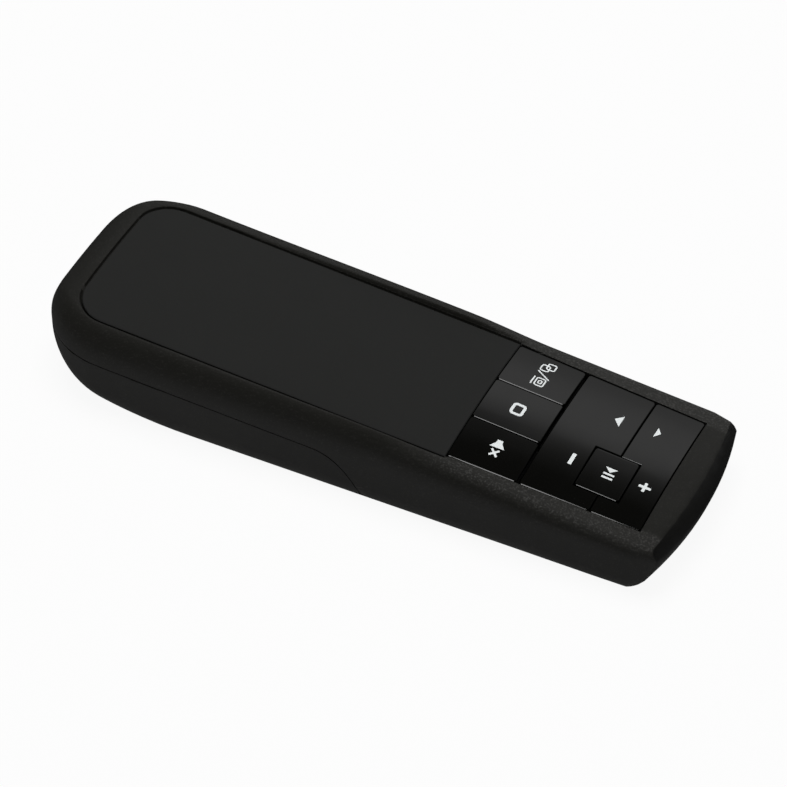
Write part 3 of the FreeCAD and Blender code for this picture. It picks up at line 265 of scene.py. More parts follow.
@dataclass(frozen=True)
class MouldedFinish:
    """Spark-eroded moulded plastic: fine grain, light flecks and slight wear, with an optional painted
    highlight on the shoulders and painted shade on the nose's brow.
    """

    name: str
    colour: Colour
    fleck: Colour
    roughness: float
    grain_mm: float = 0.28
    depth_mm: float = 0.012
    specular: float = 0.50
    shoulder_grain_and_highlight: ShoulderGrainAndHighlight | None = None
    brow_shade: BrowShade | None = None
    octaves: float = 3.0
    fleck_band: Point = (0.56, 0.74)
    cloud_mm: float = 9.0
    cloud_band: Point = (0.3, 0.7)
    wear: Point = (-0.03, 0.04)
    bump: float = 0.6

    def material(self) -> bpy.types.Material:
        """Returns the material."""
        recipe = Recipe(self.name, self.colour, self.roughness, specular=self.specular)
        grain = recipe.noise(self.grain_mm, self.octaves)
        tone = recipe.mixed(recipe.ranged(grain, self.fleck_band, (0.0, 1.0)), self.colour, self.fleck)
        # Painted highlight: the shoulder strips take a lighter colour as well as a coarser grain.
        if self.shoulder_grain_and_highlight is not None:
            coarse = recipe.noise(self.shoulder_grain_and_highlight.grain_mm, self.octaves)
            share = recipe.ranged(coarse, self.shoulder_grain_and_highlight.fleck_band, (0.0, 1.0))
            strip = recipe.mixed(share, self.shoulder_grain_and_highlight.colour, self.shoulder_grain_and_highlight.fleck)
            tone = recipe.mixed(self.shoulder_grain_and_highlight.mask(recipe), tone, strip)
        # Painted shade: the brow is painted darker than the rest of the rim.
        if self.brow_shade is not None:
            tone = recipe.mixed(self.brow_shade.mask(recipe), tone, self.brow_shade.colour)
        recipe.paint(tone)
        worn = tuple(self.roughness + change for change in self.wear)
        recipe.polish(recipe.ranged(recipe.noise(self.cloud_mm), self.cloud_band, worn))
        recipe.relief(grain, self.depth_mm, self.bump)
        return recipe.material


@dataclass(frozen=True)
class GlossFinish:
    """Polished plastic with a coat and faint finger smears."""

    name: str
    colour: Colour
    roughness: float
    smear_mm: float = 5.0
    smear_octaves: float = 4.0
    smear_stretch: Triple = (1.0, 2.4, 1.0)
    smear_band: Point = (0.35, 0.75)
    dulling: float = 0.05
    dust_mm: float = 0.16
    dust_band: Point = (0.74, 0.80)
    dust_share: float = 0.35
    dust_lift: float = 0.03

    def material(self) -> bpy.types.Material:
        """Returns the material."""
        recipe = Recipe(self.name, self.colour, self.roughness)
        smear = recipe.noise(self.smear_mm, self.smear_octaves, self.smear_stretch)
        recipe.polish(recipe.ranged(smear, self.smear_band, (self.roughness, self.roughness + self.dulling)))
        dust = recipe.ranged(recipe.noise(self.dust_mm, 1.0), self.dust_band, (0.0, self.dust_share))
        recipe.paint(recipe.mixed(dust, self.colour, tuple(part + self.dust_lift for part in self.colour)))
        return recipe.material


@dataclass(frozen=True)
class MetalFinish:
    """Bare metal with rolling or turning marks along one axis."""

    name: str
    colour: Colour
    roughness: float
    marks: Triple = (12.0, 1.0, 1.0)
    marks_mm: float = 0.12
    octaves: float = 3.0
    marks_band: Point = (0.3, 0.7)
    spread: float = 0.14
    cloud_mm: float = 2.5
    dulling: float = 0.7
    depth_mm: float = 0.004
    bump: float = 0.5

    def material(self) -> bpy.types.Material:
        """Returns the material."""
        recipe = Recipe(self.name, self.colour, self.roughness, 1.0)
        marks = recipe.noise(self.marks_mm, self.octaves, self.marks)
        dull = tuple(part * self.dulling for part in self.colour)
        recipe.paint(recipe.mixed(recipe.noise(self.cloud_mm, self.octaves), self.colour, dull))
        recipe.polish(recipe.ranged(marks, self.marks_band, (self.roughness, self.roughness + self.spread)))
        recipe.relief(marks, self.depth_mm, self.bump)
        return recipe.material


@dataclass(frozen=True)
class BoardFinish:
    """Solder mask over copper traces."""

    name: str = "board_green"
    mask: Colour = (0.008, 0.065, 0.028)
    trace: Colour = (0.016, 0.13, 0.05)
    roughness: float = 0.32
    pitch_mm: float = 6.0
    trace_width: float = 0.035
    brick: Point = (0.7, 0.16)
    depth_mm: float = 0.03
    bump: float = 0.6

    def material(self) -> bpy.types.Material:
        """Returns the material."""
        recipe = Recipe(self.name, self.mask, self.roughness)
        bricks = recipe.node("TexBrick")
        recipe.feed(bricks.inputs["Vector"], recipe.coordinates)
        bricks.inputs["Scale"].default_value = 1.0 / (self.pitch_mm * MM)
        bricks.inputs["Mortar Size"].default_value = self.trace_width
        bricks.inputs["Brick Width"].default_value, bricks.inputs["Row Height"].default_value = self.brick
        recipe.paint(recipe.mixed(bricks.outputs["Fac"], self.mask, self.trace))
        recipe.relief(bricks.outputs["Fac"], self.depth_mm, self.bump)
        return recipe.material


@dataclass(frozen=True)
class CellFinish:
    """Plain wrap round a cell's can, with a band at its positive end and steel ends."""

    name: str
    can: Point
    nub_forward: bool
    wrap: Colour = (0.012, 0.018, 0.045)
    band: Colour = (0.50, 0.30, 0.06)
    steel: Colour = (0.62, 0.62, 0.60)
    band_mm: float = 9.0
    rim_mm: float = 0.25
    roughness: float = 0.24
    cloud_mm: float = 4.0
    cloud_octaves: float = 3.0
    cloud_band: Point = (0.3, 0.7)
    polish: Point = (0.20, 0.32)

    def material(self) -> bpy.types.Material:
        """Returns the material."""
        recipe = Recipe(self.name, self.wrap, self.roughness)
        sign = 1.0 if self.nub_forward else -1.0
        negative, positive = sorted(end * sign for end in self.can)
        towards = recipe.math("MULTIPLY", recipe.split(recipe.coordinates)[0], sign)
        banded = recipe.math("GREATER_THAN", towards, (positive - self.band_mm) * MM)
        at_nub = recipe.math("GREATER_THAN", towards, (positive - self.rim_mm) * MM)
        at_foot = recipe.math("LESS_THAN", towards, (negative + self.rim_mm) * MM)
        bare = recipe.math("MAXIMUM", at_nub, at_foot)
        recipe.paint(recipe.mixed(bare, recipe.mixed(banded, self.wrap, self.band), self.steel))
        recipe.feed(recipe.shader.inputs["Metallic"], bare)
        cloud = recipe.noise(self.cloud_mm, self.cloud_octaves)
        recipe.polish(recipe.ranged(cloud, self.cloud_band, self.polish))
        return recipe.material


@dataclass(frozen=True)
class PrintFinish:
    """Screen-printed ink with a slightly uneven edge of tone."""

    name: str
    colour: Colour
    roughness: float = 0.42
    mottle_mm: float = 0.5
    thinning: float = 0.9
    grain_mm: float = 0.2
    depth_mm: float = 0.004
    bump: float = 0.4

    def material(self) -> bpy.types.Material:
        """Returns the material."""
        recipe = Recipe(self.name, self.colour, self.roughness)
        thin = tuple(part * self.thinning for part in self.colour)
        recipe.paint(recipe.mixed(recipe.noise(self.mottle_mm), self.colour, thin))
        recipe.relief(recipe.noise(self.grain_mm), self.depth_mm, self.bump)
        return recipe.material


@dataclass
class Deck:
    """The crowned, sloping surface that the keys share, in millimetres."""

    start_x: float = 20.1
    nose_x: float = 65.25
    height: float = 15.0
    nose_drop: float = 3.2
    crown_radius: float = 150.0

    def top(self, x: float, y: float) -> float:
        """Returns the height of the surface at a place."""
        slope = self.nose_drop / (self.nose_x - self.start_x)
        tilt = math.hypot(1.0, slope)
        drop = (self.crown_radius - math.sqrt(self.crown_radius ** 2 - y ** 2)) * tilt
        return self.height - slope * (x - self.start_x) - drop


@dataclass(frozen=True)
class Skin:
    """True outside of the closed clicker, in millimetres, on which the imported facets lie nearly."""

    half_length: float = 65.25
    handle_half: float = 22.8
    nose_half: float = 19.7
    crown_radius: float = 150.0
    keypad_x: float = 20.1
    deck: float = 15.0
    handle_rise: float = 4.3
    nose_drop: float = 3.2
    handle_corner: Point = (16.2, 0.2)
    nose_corner: Point = (8.7, 1.5)
    top_round: float = 7.4
    underside: Point = (35.0, 13.8)
    edges: Triple = (6.0, 4.13, 1.8)
    edge_shares: Triple = (1.2, 0.45, 0.48)
    foot: Triple = (1.85, 3.9, 0.3)
    rim_heights: Point = (0.1, 0.8)
    rim_places: Triple = (-50.0, 8.5, 25.0)
    reach: float = 0.45
    widest: float = 22.359
    refined_to: float = 57.0
    tip: float = 0.01
    panel_ends: Point = (-57.8, 20.1)
    panel_halves: Point = (16.7, 16.1)
    panel_corner: float = 6.4
    lip: Point = (0.2, 0.95)
    lip_share: float = 0.9
    lip_gap: float = 0.22

    @staticmethod
    def between(value: float, start: Point, end: Point) -> float:
        """Returns the height at a value on the line between two points, held at its ends."""
        share = min(max((value - start[0]) / (end[0] - start[0]), 0.0), 1.0)
        return start[1] + (end[1] - start[1]) * share

    @staticmethod
    def loss(distance: float, run: float, rise: float) -> float:
        """Returns how far a quarter ellipse has dropped at a distance from its end."""
        share = max(run - max(distance, 0.0), 0.0) / run
        return rise * (1 - math.sqrt(1 - share * share))

    def crest(self, x: float) -> float:
        """Returns the height of the rim's crest."""
        far_slope = self.handle_rise / (self.keypad_x + self.half_length)
        near_slope = self.nose_drop / (self.half_length - self.keypad_x)
        slope = far_slope if x < self.keypad_x else near_slope
        start, peak, end = self.rim_places
        share = self.between(x, (start, 0), (peak, 1)) if x < peak else self.between(x, (peak, 1), (end, 0))
        rise = share * share * (3 - 2 * share)
        low, high = self.rim_heights
        return self.deck - slope * (x - self.keypad_x) + low + (high - low) * rise

    def edge(self, x: float) -> float:
        """Returns the width of the round along the top's edge."""
        at_handle, at_keypad, at_nose = self.edges
        if x < self.keypad_x:
            return self.between(x, (-self.half_length, at_handle), (self.keypad_x, at_keypad))
        return self.between(x, (self.keypad_x, at_keypad), (self.half_length, at_nose))

    def settle(self, x: float, y: float, z: float) -> Point | None:
        """Finds the place on the true section that is nearest to a point.

        Args:
            x: Station of the section.
            y: Distance from the middle plane.
            z: Height.

        Returns:
            The new y and z, or None for a point that is off the outside.
        """
        from_handle = x + self.half_length + self.handle_corner[1]
        from_nose = self.half_length + self.nose_corner[1] - x
        wide = self.between(x, (-self.half_length, self.handle_half), (self.half_length, self.nose_half))
        wide -= self.loss(from_handle, self.handle_corner[0], self.handle_corner[0])
        wide -= self.loss(from_nose, self.nose_corner[0], self.nose_corner[0])
        top = self.crest(x) - self.loss(from_handle, self.top_round, self.top_round)
        bottom = self.loss(from_handle, *self.underside)
        drop_share, width_share, height_share = self.edge_shares
        edge = min(self.edge(x), wide * width_share)
        edge_top = top - (wide - edge) ** 2 / (2 * self.crown_radius)
        tall = edge_top - bottom
        drop = min(edge * drop_share, tall * height_share)
        foot = min(self.foot[0], wide * self.foot[2])
        foot_rise = min(self.foot[1], tall * self.foot[2])
        side = abs(y)
        if z > edge_top - drop and side > wide - edge:
            new_side, new_z = self.on_ellipse((side, z), (wide - edge, edge_top - drop), (edge, drop))
        elif z < bottom + foot_rise and side > wide - foot:
            hub = (wide - foot, bottom + foot_rise)
            new_side, new_z = self.on_ellipse((side, z), hub, (foot, -foot_rise))
        elif wide - side < min(abs(top - z), abs(z - bottom)):
            new_side, new_z = wide, z
        elif z > (top + bottom) / 2:
            new_side, new_z = side, top - side ** 2 / (2 * self.crown_radius)
        else:
            new_side, new_z = side, bottom
        if x > self.refined_to or math.hypot(new_side - side, new_z - z) > self.reach:
            return None
        return math.copysign(min(new_side, self.widest), y), new_z

    def lip_roll(self, x: float, y: float) -> Vector:
        """Returns how the rim's inner edge rolls down and away from the panel at a place."""
        start, end = self.panel_ends
        if x > end:
            return Vector((0.0, 0.0, 0.0))
        hub_x = start + self.panel_corner
        at_start, at_end = self.panel_halves
        hub_y = self.between(x, (start, at_start), (end, at_end)) - self.panel_corner
        offset = Vector((x - max(x, hub_x), y - min(max(y, -hub_y), hub_y), 0.0))
        away = offset.length - self.panel_corner
        share = min(max((away - self.lip[0]) / (self.lip[1] - self.lip[0]), 0.0), 1.0)
        left = 1 - share * share * (3 - 2 * share)
        slope = self.handle_rise / (self.keypad_x + self.half_length)
        proud = self.crest(x) - (self.deck - slope * (x - self.keypad_x))
        return offset.normalized() * self.lip_gap * left - Vector((0.0, 0.0, proud * self.lip_share * left))

    @staticmethod
    def on_ellipse(point: Point, centre: Point, radii: Point) -> Point:
        """Returns the place on a quarter ellipse in the direction of a point."""
        u, v = (point[0] - centre[0]) / radii[0], (point[1] - centre[1]) / radii[1]
        length = math.hypot(u, v) or 1.0
        return centre[0] + radii[0] * u / length, centre[1] + radii[1] * v / length

    def refine(self, shape: bmesh.types.BMesh, cuts: int) -> None:
        """Divides the outer faces and settles them on the true outside.

        Args:
            shape: Merged copy of a shell, in metres.
            cuts: Cuts along each edge.
        """
        def settled(vertex: bmesh.types.BMVert) -> Point | None:
            return self.settle(*(part / MM for part in vertex.co))
        outside = {vertex for vertex in shape.verts if settled(vertex) is not None}
        faces = [face for face in shape.faces if all(vertex in outside for vertex in face.verts)]
        edges = list({edge for face in faces for edge in face.edges})
        bmesh.ops.subdivide_edges(shape, edges=edges, cuts=cuts, use_grid_fill=True)
        for vertex in shape.verts:
            place = settled(vertex)
            x = vertex.co.x / MM
            if place is not None and abs(x) < self.half_length - self.tip:
                roll = self.lip_roll(x, place[0]) if place[1] > self.deck / 2 else Vector((0.0, 0.0, 0.0))
                vertex.co = (Vector((x, *place)) + roll) * MM


class Workshop:
    """Turns bmeshes and CAD nodes into finished pieces."""

    WELD = 2e-6
    SPECK = 1e-6
    FACING_UP = 0.97
    LOWEST_TOP = 9 * MM
    LEAST_MITRE = 0.3
    BEVEL_SEGMENTS = 2

    @staticmethod
    def piece(name: str, shape: bmesh.types.BMesh, body: Body, material: bpy.types.Material, slot: str
              ) -> bpy.types.Object:
        """Makes an object from a bmesh in metres and lets it ride on a body.

        Args:
            name: Name of the piece.
            shape: Finished bmesh, freed here.
            body: Body that it moves with.
            material: Its material.
            slot: Slot of the record; not used.

        Returns:
            The piece.
        """
        mesh = bpy.data.meshes.new(name)
        shape.to_mesh(mesh)
        shape.free()
        mesh.materials.append(material)
        thing = bpy.data.objects.new(name, mesh)
        bpy.context.scene.collection.objects.link(thing)
        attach(thing, body.value)
        return thing

    @staticmethod
    def crisp(shape: bmesh.types.BMesh, widen_mm: float) -> None:
        """Widens the top of a key along its crown, so that its chamfer shows as a thin line.

        Args:
            shape: Merged copy of a key, in metres.
            widen_mm: How far the top's outline moves outwards.
        """
        deck = Deck()
        shape.normal_update()
        top = {face for face in shape.faces if face.normal.z > Workshop.FACING_UP
               and face.calc_center_median().z > Workshop.LOWEST_TOP}
        shifts: dict[bmesh.types.BMVert, list[Vector]] = {}
        for face in top:
            for edge in face.edges:
                if all(other in top for other in edge.link_faces):
                    continue
                along = edge.verts[1].co - edge.verts[0].co
                outward = Vector((along.y, -along.x, 0.0)).normalized()
                if outward.dot(edge.verts[0].co - face.calc_center_median()) < 0:
                    outward.negate()
                for vertex in edge.verts:
                    shifts.setdefault(vertex, []).append(outward)
        feet = {edge.other_vert(vertex) for vertex in shifts for edge in vertex.link_edges}
        for foot in feet - set(shifts):
            if all(face not in top for face in foot.link_faces):
                foot.co.z += widen_mm * MM
        for vertex, sides in shifts.items():
            first, last = sides[0], sides[-1]
            before = deck.top(vertex.co.x / MM, vertex.co.y / MM)
            vertex.co += (first + last) * (widen_mm * MM / max(1.0 + first.dot(last), Workshop.LEAST_MITRE))
            vertex.co.z += (deck.top(vertex.co.x / MM, vertex.co.y / MM) - before) * MM

    @staticmethod
    def smoothed(node: str, body: Body, material: bpy.types.Material, crease: float = 28.0,
                 bevel_mm: float = 0.0, cuts: int = 0, widen_mm: float = 0.0) -> bpy.types.Object:
        """Replaces a CAD node by a merged copy with smooth shading up to a crease angle.

        Args:
            node: Name of the CAD node.
            body: Body that it moves with.
            material: Its material.
            crease: Angle in degrees from which an edge stays sharp.
            bevel_mm: Width of the round on the sharp edges, or 0.
            cuts: Cuts along each edge of the outside, which then settles on the true skin.
            widen_mm: How far the top is widened over its chamfer.

        Returns:
            The piece.
        """
        source = frame["nodes"][node]
        shape = bmesh.new()
        shape.from_mesh(source.data)
        bmesh.ops.remove_doubles(shape, verts=shape.verts, dist=Workshop.WELD)
        bmesh.ops.dissolve_degenerate(shape, edges=shape.edges, dist=Workshop.SPECK)
        if cuts > 0:
            Skin().refine(shape, cuts)
        if widen_mm > 0:
            Workshop.crisp(shape, widen_mm)
        for face in shape.faces:
            face.smooth = True
        slot = next(part["material_slot"] for part in frame["record"]["subparts"] if part["node"] == node)
        thing = Workshop.piece(node + "_shell", shape, body, material, slot)
        thing.data.set_sharp_from_angle(angle=math.radians(crease))
        if bevel_mm > 0:
            bevel = thing.modifiers.new("soft_edges", "BEVEL")
            bevel.width = bevel_mm * MM
            bevel.segments = Workshop.BEVEL_SEGMENTS
            bevel.limit_method = "ANGLE"
            bevel.angle_limit = math.radians(crease)
            bevel.harden_normals = True
        even = thing.modifiers.new("even_shading", "WEIGHTED_NORMAL")
        even.mode = "FACE_AREA_WITH_ANGLE"
        even.keep_sharp = True
        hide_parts(node)
        return thing

    @staticmethod
    def dress(node: str, material: bpy.types.Material) -> None:
        """Gives a CAD node a material."""
        thing = frame["nodes"][node]
        thing.data.materials.clear()
        thing.data.materials.append(material)


@dataclass
class Stencil:
    """Flat sign on the keypad: outlines in millimetres, laid on the deck as thin ink."""

    deck: Deck
    ink: bpy.types.Material
    lift: float = 0.045
    depth: float = 0.06

    def lay(self, name: str, body: Body, outlines: list[list[Point]],
            slot: str = "ceramic_white") -> bpy.types.Object:
        """Makes one sign.

        Args:
            name: Name of the piece.
            body: Body whose key carries it.
            outlines: Closed outlines on the keypad.
            slot: Slot of the record.

        Returns:
            The sign.
        """
        shape = bmesh.new()
        for outline in outlines:
            corners = [shape.verts.new((x * MM, y * MM, -self.depth * MM)) for x, y in outline]
            base = shape.faces.new(corners)
            raised = bmesh.ops.extrude_face_region(shape, geom=[base])
            moved = [item for item in raised["geom"] if isinstance(item, bmesh.types.BMVert)]
            bmesh.ops.translate(shape, verts=moved, vec=(0, 0, (self.depth + self.lift) * MM))
        for vertex in shape.verts:
            vertex.co.z += self.deck.top(vertex.co.x / MM, vertex.co.y / MM) * MM
        bmesh.ops.recalc_face_normals(shape, faces=shape.faces)
        return Workshop.piece(name, shape, body, self.ink, slot)


def rounded(centre: Point, size: Point, radius: float, steps: int = 4) -> list[Point]:
    """Returns the outline of a rectangle with rounded corners."""
    outline = []
    for index, (sx, sy) in enumerate(((1, 1), (-1, 1), (-1, -1), (1, -1))):
        hub = (centre[0] + sx * (size[0] / 2 - radius), centre[1] + sy * (size[1] / 2 - radius))
        for step in range(steps + 1):
            angle = math.radians(90) * (index + step / steps)
            outline.append((hub[0] + radius * math.cos(angle), hub[1] + radius * math.sin(angle)))
    return outline


def bar(start: Point, end: Point, width: float) -> list[Point]:
    """Returns the outline of a straight stroke."""
    along = Vector((end[0] - start[0], end[1] - start[1])).normalized()
    side = Vector((-along.y, along.x)) * width / 2
    a, b = Vector(start), Vector(end)
    return [tuple(a - side), tuple(b - side), tuple(b + side), tuple(a + side)]


def ring(centre: Point, size: Point, width: float, radius: float, least: float = 0.02) -> list[list[Point]]:
    """Returns the pieces of a rounded rectangular ring."""
    outer = rounded(centre, size, radius)
    inner = rounded(centre, (size[0] - 2 * width, size[1] - 2 * width), max(radius - width, least))
    count = len(outer)
    return [[outer[i], outer[(i + 1) % count], inner[(i + 1) % count], inner[i]] for i in range(count)]


@dataclass(frozen=True)
class SeamTongue:
    """Thin tongue in the foot of the seam, in millimetres, that closes most of the gap to light."""

    poles: tuple[Point, ...] = ((-5.0, 9.7), (0.0, 9.7), (3.5, 5.2), (6.0, 0.0))
    half: float = 21.1
    foot: Point = (1.85, 3.9)
    depths: tuple[Point, Point] = ((0.08, 0.30), (1.2, 1.3))
    layers: Point = (-0.11, 0.03)
    inner_run: float = 3.0
    heights: tuple[float, ...] = (4.4, 5.0, 5.6, 6.2)
    steps: int = 8
    halvings: int = 24

    def seam_x(self, height: float) -> float:
        """Returns where the seam's curve passes a height."""
        low, high = 0.0, 1.0
        for _ in range(self.halvings):
            share = (low + high) / 2
            rest = 1 - share
            weights = (rest ** 3, 3 * share * rest ** 2, 3 * share ** 2 * rest, share ** 3)
            if sum(weight * pole[1] for weight, pole in zip(weights, self.poles)) > height:
                low = share
            else:
                high = share
        return sum(weight * pole[0] for weight, pole in zip(weights, self.poles))

    def line(self, depths: Point) -> list[Point]:
        """Returns y and z along the section from the underside up, between two depths."""
        hub = self.half - self.foot[0]
        low, high = depths
        points = [(hub - self.inner_run, low)]
        for step in range(self.steps + 1):
            angle = math.radians(90) * step / self.steps
            depth = low + (high - low) * (step / self.steps) ** 2
            points.append((hub + (self.foot[0] - depth) * math.sin(angle),
                           self.foot[1] - (self.foot[1] - depth) * math.cos(angle)))
        return points + [(self.half - high, height) for height in self.heights]

    def build(self, material: bpy.types.Material) -> bpy.types.Object:
        """Returns the tongue of both sides.

        Args:
            material: Finish of the housing.
        """
        shape = bmesh.new()
        for side in (-1, 1):
            rows = []
            for outer, inner in zip(*(self.line(depths) for depths in self.depths)):
                low, high = self.layers
                corners = [(*outer, low), (*outer, high), (*inner, high), (*inner, low)]
                rows.append([shape.verts.new(Vector((self.seam_x(z) + layer, side * y, z)) * MM)
                             for y, z, layer in corners])
            for row, following in zip(rows, rows[1:]):
                for index in range(4):
                    after = (index + 1) % 4
                    shape.faces.new((row[index], row[after], following[after], following[index]))
            shape.faces.new(rows[0])
            shape.faces.new(rows[-1])
        bmesh.ops.recalc_face_normals(shape, faces=shape.faces)
        return Workshop.piece("seam_tongue", shape, Body.HOUSING, material, "housing_black")


@dataclass(frozen=True)
class CoverGrip:
    """Finger ridges and an arrow on the cover's underside, in millimetres."""

    skin: Skin = Skin()
    first_x: float = -51.0
    pitch: float = 1.45
    lengths: tuple[float, ...] = (11.0, 13.4, 14.8, 15.4, 14.8, 13.4, 11.0)
    width: float = 0.75
    taper: float = 0.18
    proud: float = 0.24
    sunk: float = 0.35
    arrow: tuple[Point, ...] = ((-41.0, 0.0), (-38.3, 1.8), (-38.3, -1.8))
    arrow_crown: float = 0.86

    def ridge(self, shape: bmesh.types.BMesh, foot: list[Point], crown: list[Point]) -> None:
        """Adds one raised form to the underside.

        Args:
            shape: Bmesh that takes the form.
            foot: Outline below the skin.
            crown: Smaller outline of the raised face.
        """
        def ring_of(outline: list[Point], lift: float) -> list[bmesh.types.BMVert]:
            runs = [x + self.skin.half_length + self.skin.handle_corner[1] for x, _ in outline]
            heights = [self.skin.loss(run, *self.skin.underside) for run in runs]
            return [shape.verts.new(Vector((x, y, z + lift)) * MM) for (x, y), z in zip(outline, heights)]
        low, high = ring_of(foot, self.sunk), ring_of(crown, -self.proud)
        for index in range(len(low)):
            after = (index + 1) % len(low)
            shape.faces.new((low[index], low[after], high[after], high[index]))
        shape.faces.new(low)
        shape.faces.new(high)

    def build(self, material: bpy.types.Material) -> bpy.types.Object:
        """Returns the ridges and the arrow.

        Args:
            material: Finish of the cover.
        """
        shape = bmesh.new()
        for index, length in enumerate(self.lengths):
            centre = (self.first_x + self.pitch * index, 0.0)
            foot = rounded(centre, (self.width, length), self.width / 2)
            narrow = self.width - 2 * self.taper
            self.ridge(shape, foot, rounded(centre, (narrow, length - 2 * self.taper), narrow / 2))
        hub = Vector((sum(x for x, _ in self.arrow) / len(self.arrow), 0.0))
        crown = [tuple(hub + (Vector(corner) - hub) * self.arrow_crown) for corner in self.arrow]
        self.ridge(shape, list(self.arrow), crown)
        bmesh.ops.recalc_face_normals(shape, faces=shape.faces)
        return Workshop.piece("cover_grip", shape, Body.COVER, material, "cover_black")


@dataclass
class Shells:
    """Upper housing, battery cover, underside and grip panel."""

    # Painted highlight: the shoulder strips are coloured lighter than the rest of the rim.
    rim: MouldedFinish = MouldedFinish("housing_black", (0.0112, 0.0110, 0.0094), (0.028, 0.027, 0.025), 0.50,
                                       shoulder_grain_and_highlight=ShoulderGrainAndHighlight((0.0185, 0.0182, 0.0165), (0.060, 0.059, 0.056)),
                                       # Painted shade: the brow's colour is about a third of the rim's.
                                       brow_shade=BrowShade((0.0035, 0.0035, 0.0030)))
    cover: MouldedFinish = MouldedFinish("cover_black", (0.0110, 0.0108, 0.0092), (0.024, 0.023, 0.021), 0.50)
    base: MouldedFinish = MouldedFinish("frame_black", (0.0110, 0.0108, 0.0095), (0.022, 0.021, 0.019), 0.50)
    inlay: MouldedFinish = MouldedFinish("panel_grey", (0.0212, 0.0215, 0.0208), (0.027, 0.0275, 0.0265),
                                         0.60, 0.12, 0.003, 0.10)
    cuts: int = 2
    panel_crease: float = 20.0

    def build(self) -> list[bpy.types.Object]:
        """Returns the dressed shells."""
        cover, base = self.cover.material(), self.base.material()
        return [
            Workshop.smoothed("upper_housing", Body.HOUSING, self.rim.material(), cuts=self.cuts),
            Workshop.smoothed("battery_cover", Body.COVER, cover, cuts=self.cuts),
            SeamTongue().build(base), CoverGrip().build(cover),
            Workshop.smoothed("lower_housing", Body.HOUSING, base),
            Workshop.smoothed("grip_panel", Body.HOUSING, self.inlay.material(), self.panel_crease)]


@dataclass
class Keypad:
    """Four keys, two rockers and their printed signs."""

    deck: Deck = field(default_factory=Deck)
    gloss: GlossFinish = GlossFinish("key_gloss", (0.0024, 0.0024, 0.0020), 0.08)
    ink: PrintFinish = PrintFinish("sign_white", (0.93, 0.97, 0.97))
    crease: float = 20.0
    bevel_mm: float = 0.03
    widen_mm: float = 0.15

    def keys(self) -> list[bpy.types.Object]:
        """Returns the caps with rounded edges."""
        material = self.gloss.material()
        places = {"key_window": Body.WINDOW, "key_stop": Body.STOP, "key_mute": Body.MUTE,
                  "key_play_pause": Body.PLAY, "rocker_back_minus": Body.BACK,
                  "rocker_forward_plus": Body.FORWARD}
        return [Workshop.smoothed(node, body, material, self.crease, self.bevel_mm, widen_mm=self.widen_mm)
                for node, body in places.items()]

    def signs(self) -> list[bpy.types.Object]:
        """Returns the printed signs."""
        stencil = Stencil(self.deck, self.ink.material())
        lay = stencil.lay
        window = ring((27.35, 8.55), (2.0, 2.3), 0.28, 0.5) + ring((27.35, 8.55), (0.9, 1.0), 0.24, 0.24)
        window += [bar((25.85, 7.45), (25.9, 9.65), 0.28), bar((25.75, 11.35), (28.6, 9.7), 0.26)]
        for centre in ((26.65, 12.5), (27.6, 13.25)):
            window += ring(centre, (1.85, 1.85), 0.28, 0.45)
        speaker = [[(25.95, -10.1), (28.85, -10.0), (27.95, -8.8), (27.9, -8.2), (26.8, -8.2), (26.75, -8.9)]]
        cross = [bar((26.7, -10.55), (28.2, -12.05), 0.42), bar((26.7, -12.05), (28.2, -10.55), 0.42)]
        return [
            lay("sign_window", Body.WINDOW, window),
            lay("sign_stop", Body.STOP, ring((26.87, 0.12), (2.7, 2.95), 0.56, 0.75)),
            lay("sign_mute", Body.MUTE, speaker + cross),
            lay("sign_back", Body.BACK, [[(43.2, 7.1), (44.6, 5.6), (44.6, 8.6)]]),
            lay("sign_minus", Body.BACK, [bar((40.5, -4.45), (40.5, -7.15), 0.74)]),
            lay("sign_forward", Body.FORWARD, [[(52.1, 7.9), (51.1, 9.2), (51.1, 6.5)]]),
            lay("sign_plus", Body.FORWARD, [bar((53.65, -5.55), (56.0, -5.55), 0.55),
                                            bar((54.8, -4.5), (54.8, -6.65), 0.55)]),
            lay("sign_play", Body.PLAY, [[(46.65, -4.4), (49.05, -4.4), (47.85, -5.5)],
                                         bar((46.8, -5.95), (48.95, -5.95), 0.42),
                                         bar((46.8, -6.85), (48.95, -6.85), 0.42)])]


@dataclass
class Internals:
    """Everything that shows once the battery cover is off or the clicker is opened."""

    cell_spans: tuple[Point, Point] = ((-41.1, 2.4), (-38.0, 5.5))

    def build(self) -> None:
        """Gives the inner CAD nodes their finishes."""
        moulded = MouldedFinish("inner_black", (0.014, 0.014, 0.014), (0.03, 0.03, 0.03), 0.5).material()
        chip = MouldedFinish("chip_black", (0.015, 0.015, 0.016), (0.03, 0.03, 0.032), 0.45, 0.1,
                             0.004).material()
        steel = MetalFinish("bright_steel", (0.60, 0.60, 0.59), 0.26).material()
        nickel = MetalFinish("contact_nickel", (0.66, 0.64, 0.58), 0.22, (1.0, 1.0, 10.0)).material()
        ceramic = PrintFinish("ceramic_white", (0.62, 0.58, 0.48)).material()
        slider = MouldedFinish("slider_grey", (0.06, 0.06, 0.06), (0.10, 0.10, 0.10), 0.45).material()
        wear = {"circuit_board": BoardFinish().material(), "controller_chip": chip, "tact_switches": chip,
                "crystal": steel, "chip_antenna": ceramic, "chip_parts": ceramic, "board_screw": steel,
                "housing_screws": steel, "contact_bridge": nickel, "contact_positive": nickel,
                "contact_negative": nickel, "receiver_body": moulded, "receiver_plug": steel,
                "power_switch": steel, "power_slider": slider, "key_frame": moulded}
        for key in ("window", "stop", "mute", "play_pause"):
            wear["plunger_" + key] = moulded
        for node, material in wear.items():
            Workshop.dress(node, material)
        for node, span, forward in (("battery_cell_near", self.cell_spans[0], False),
                                    ("battery_cell_far", self.cell_spans[1], True)):
            Workshop.dress(node, CellFinish("wrap_" + node, span, forward).material())


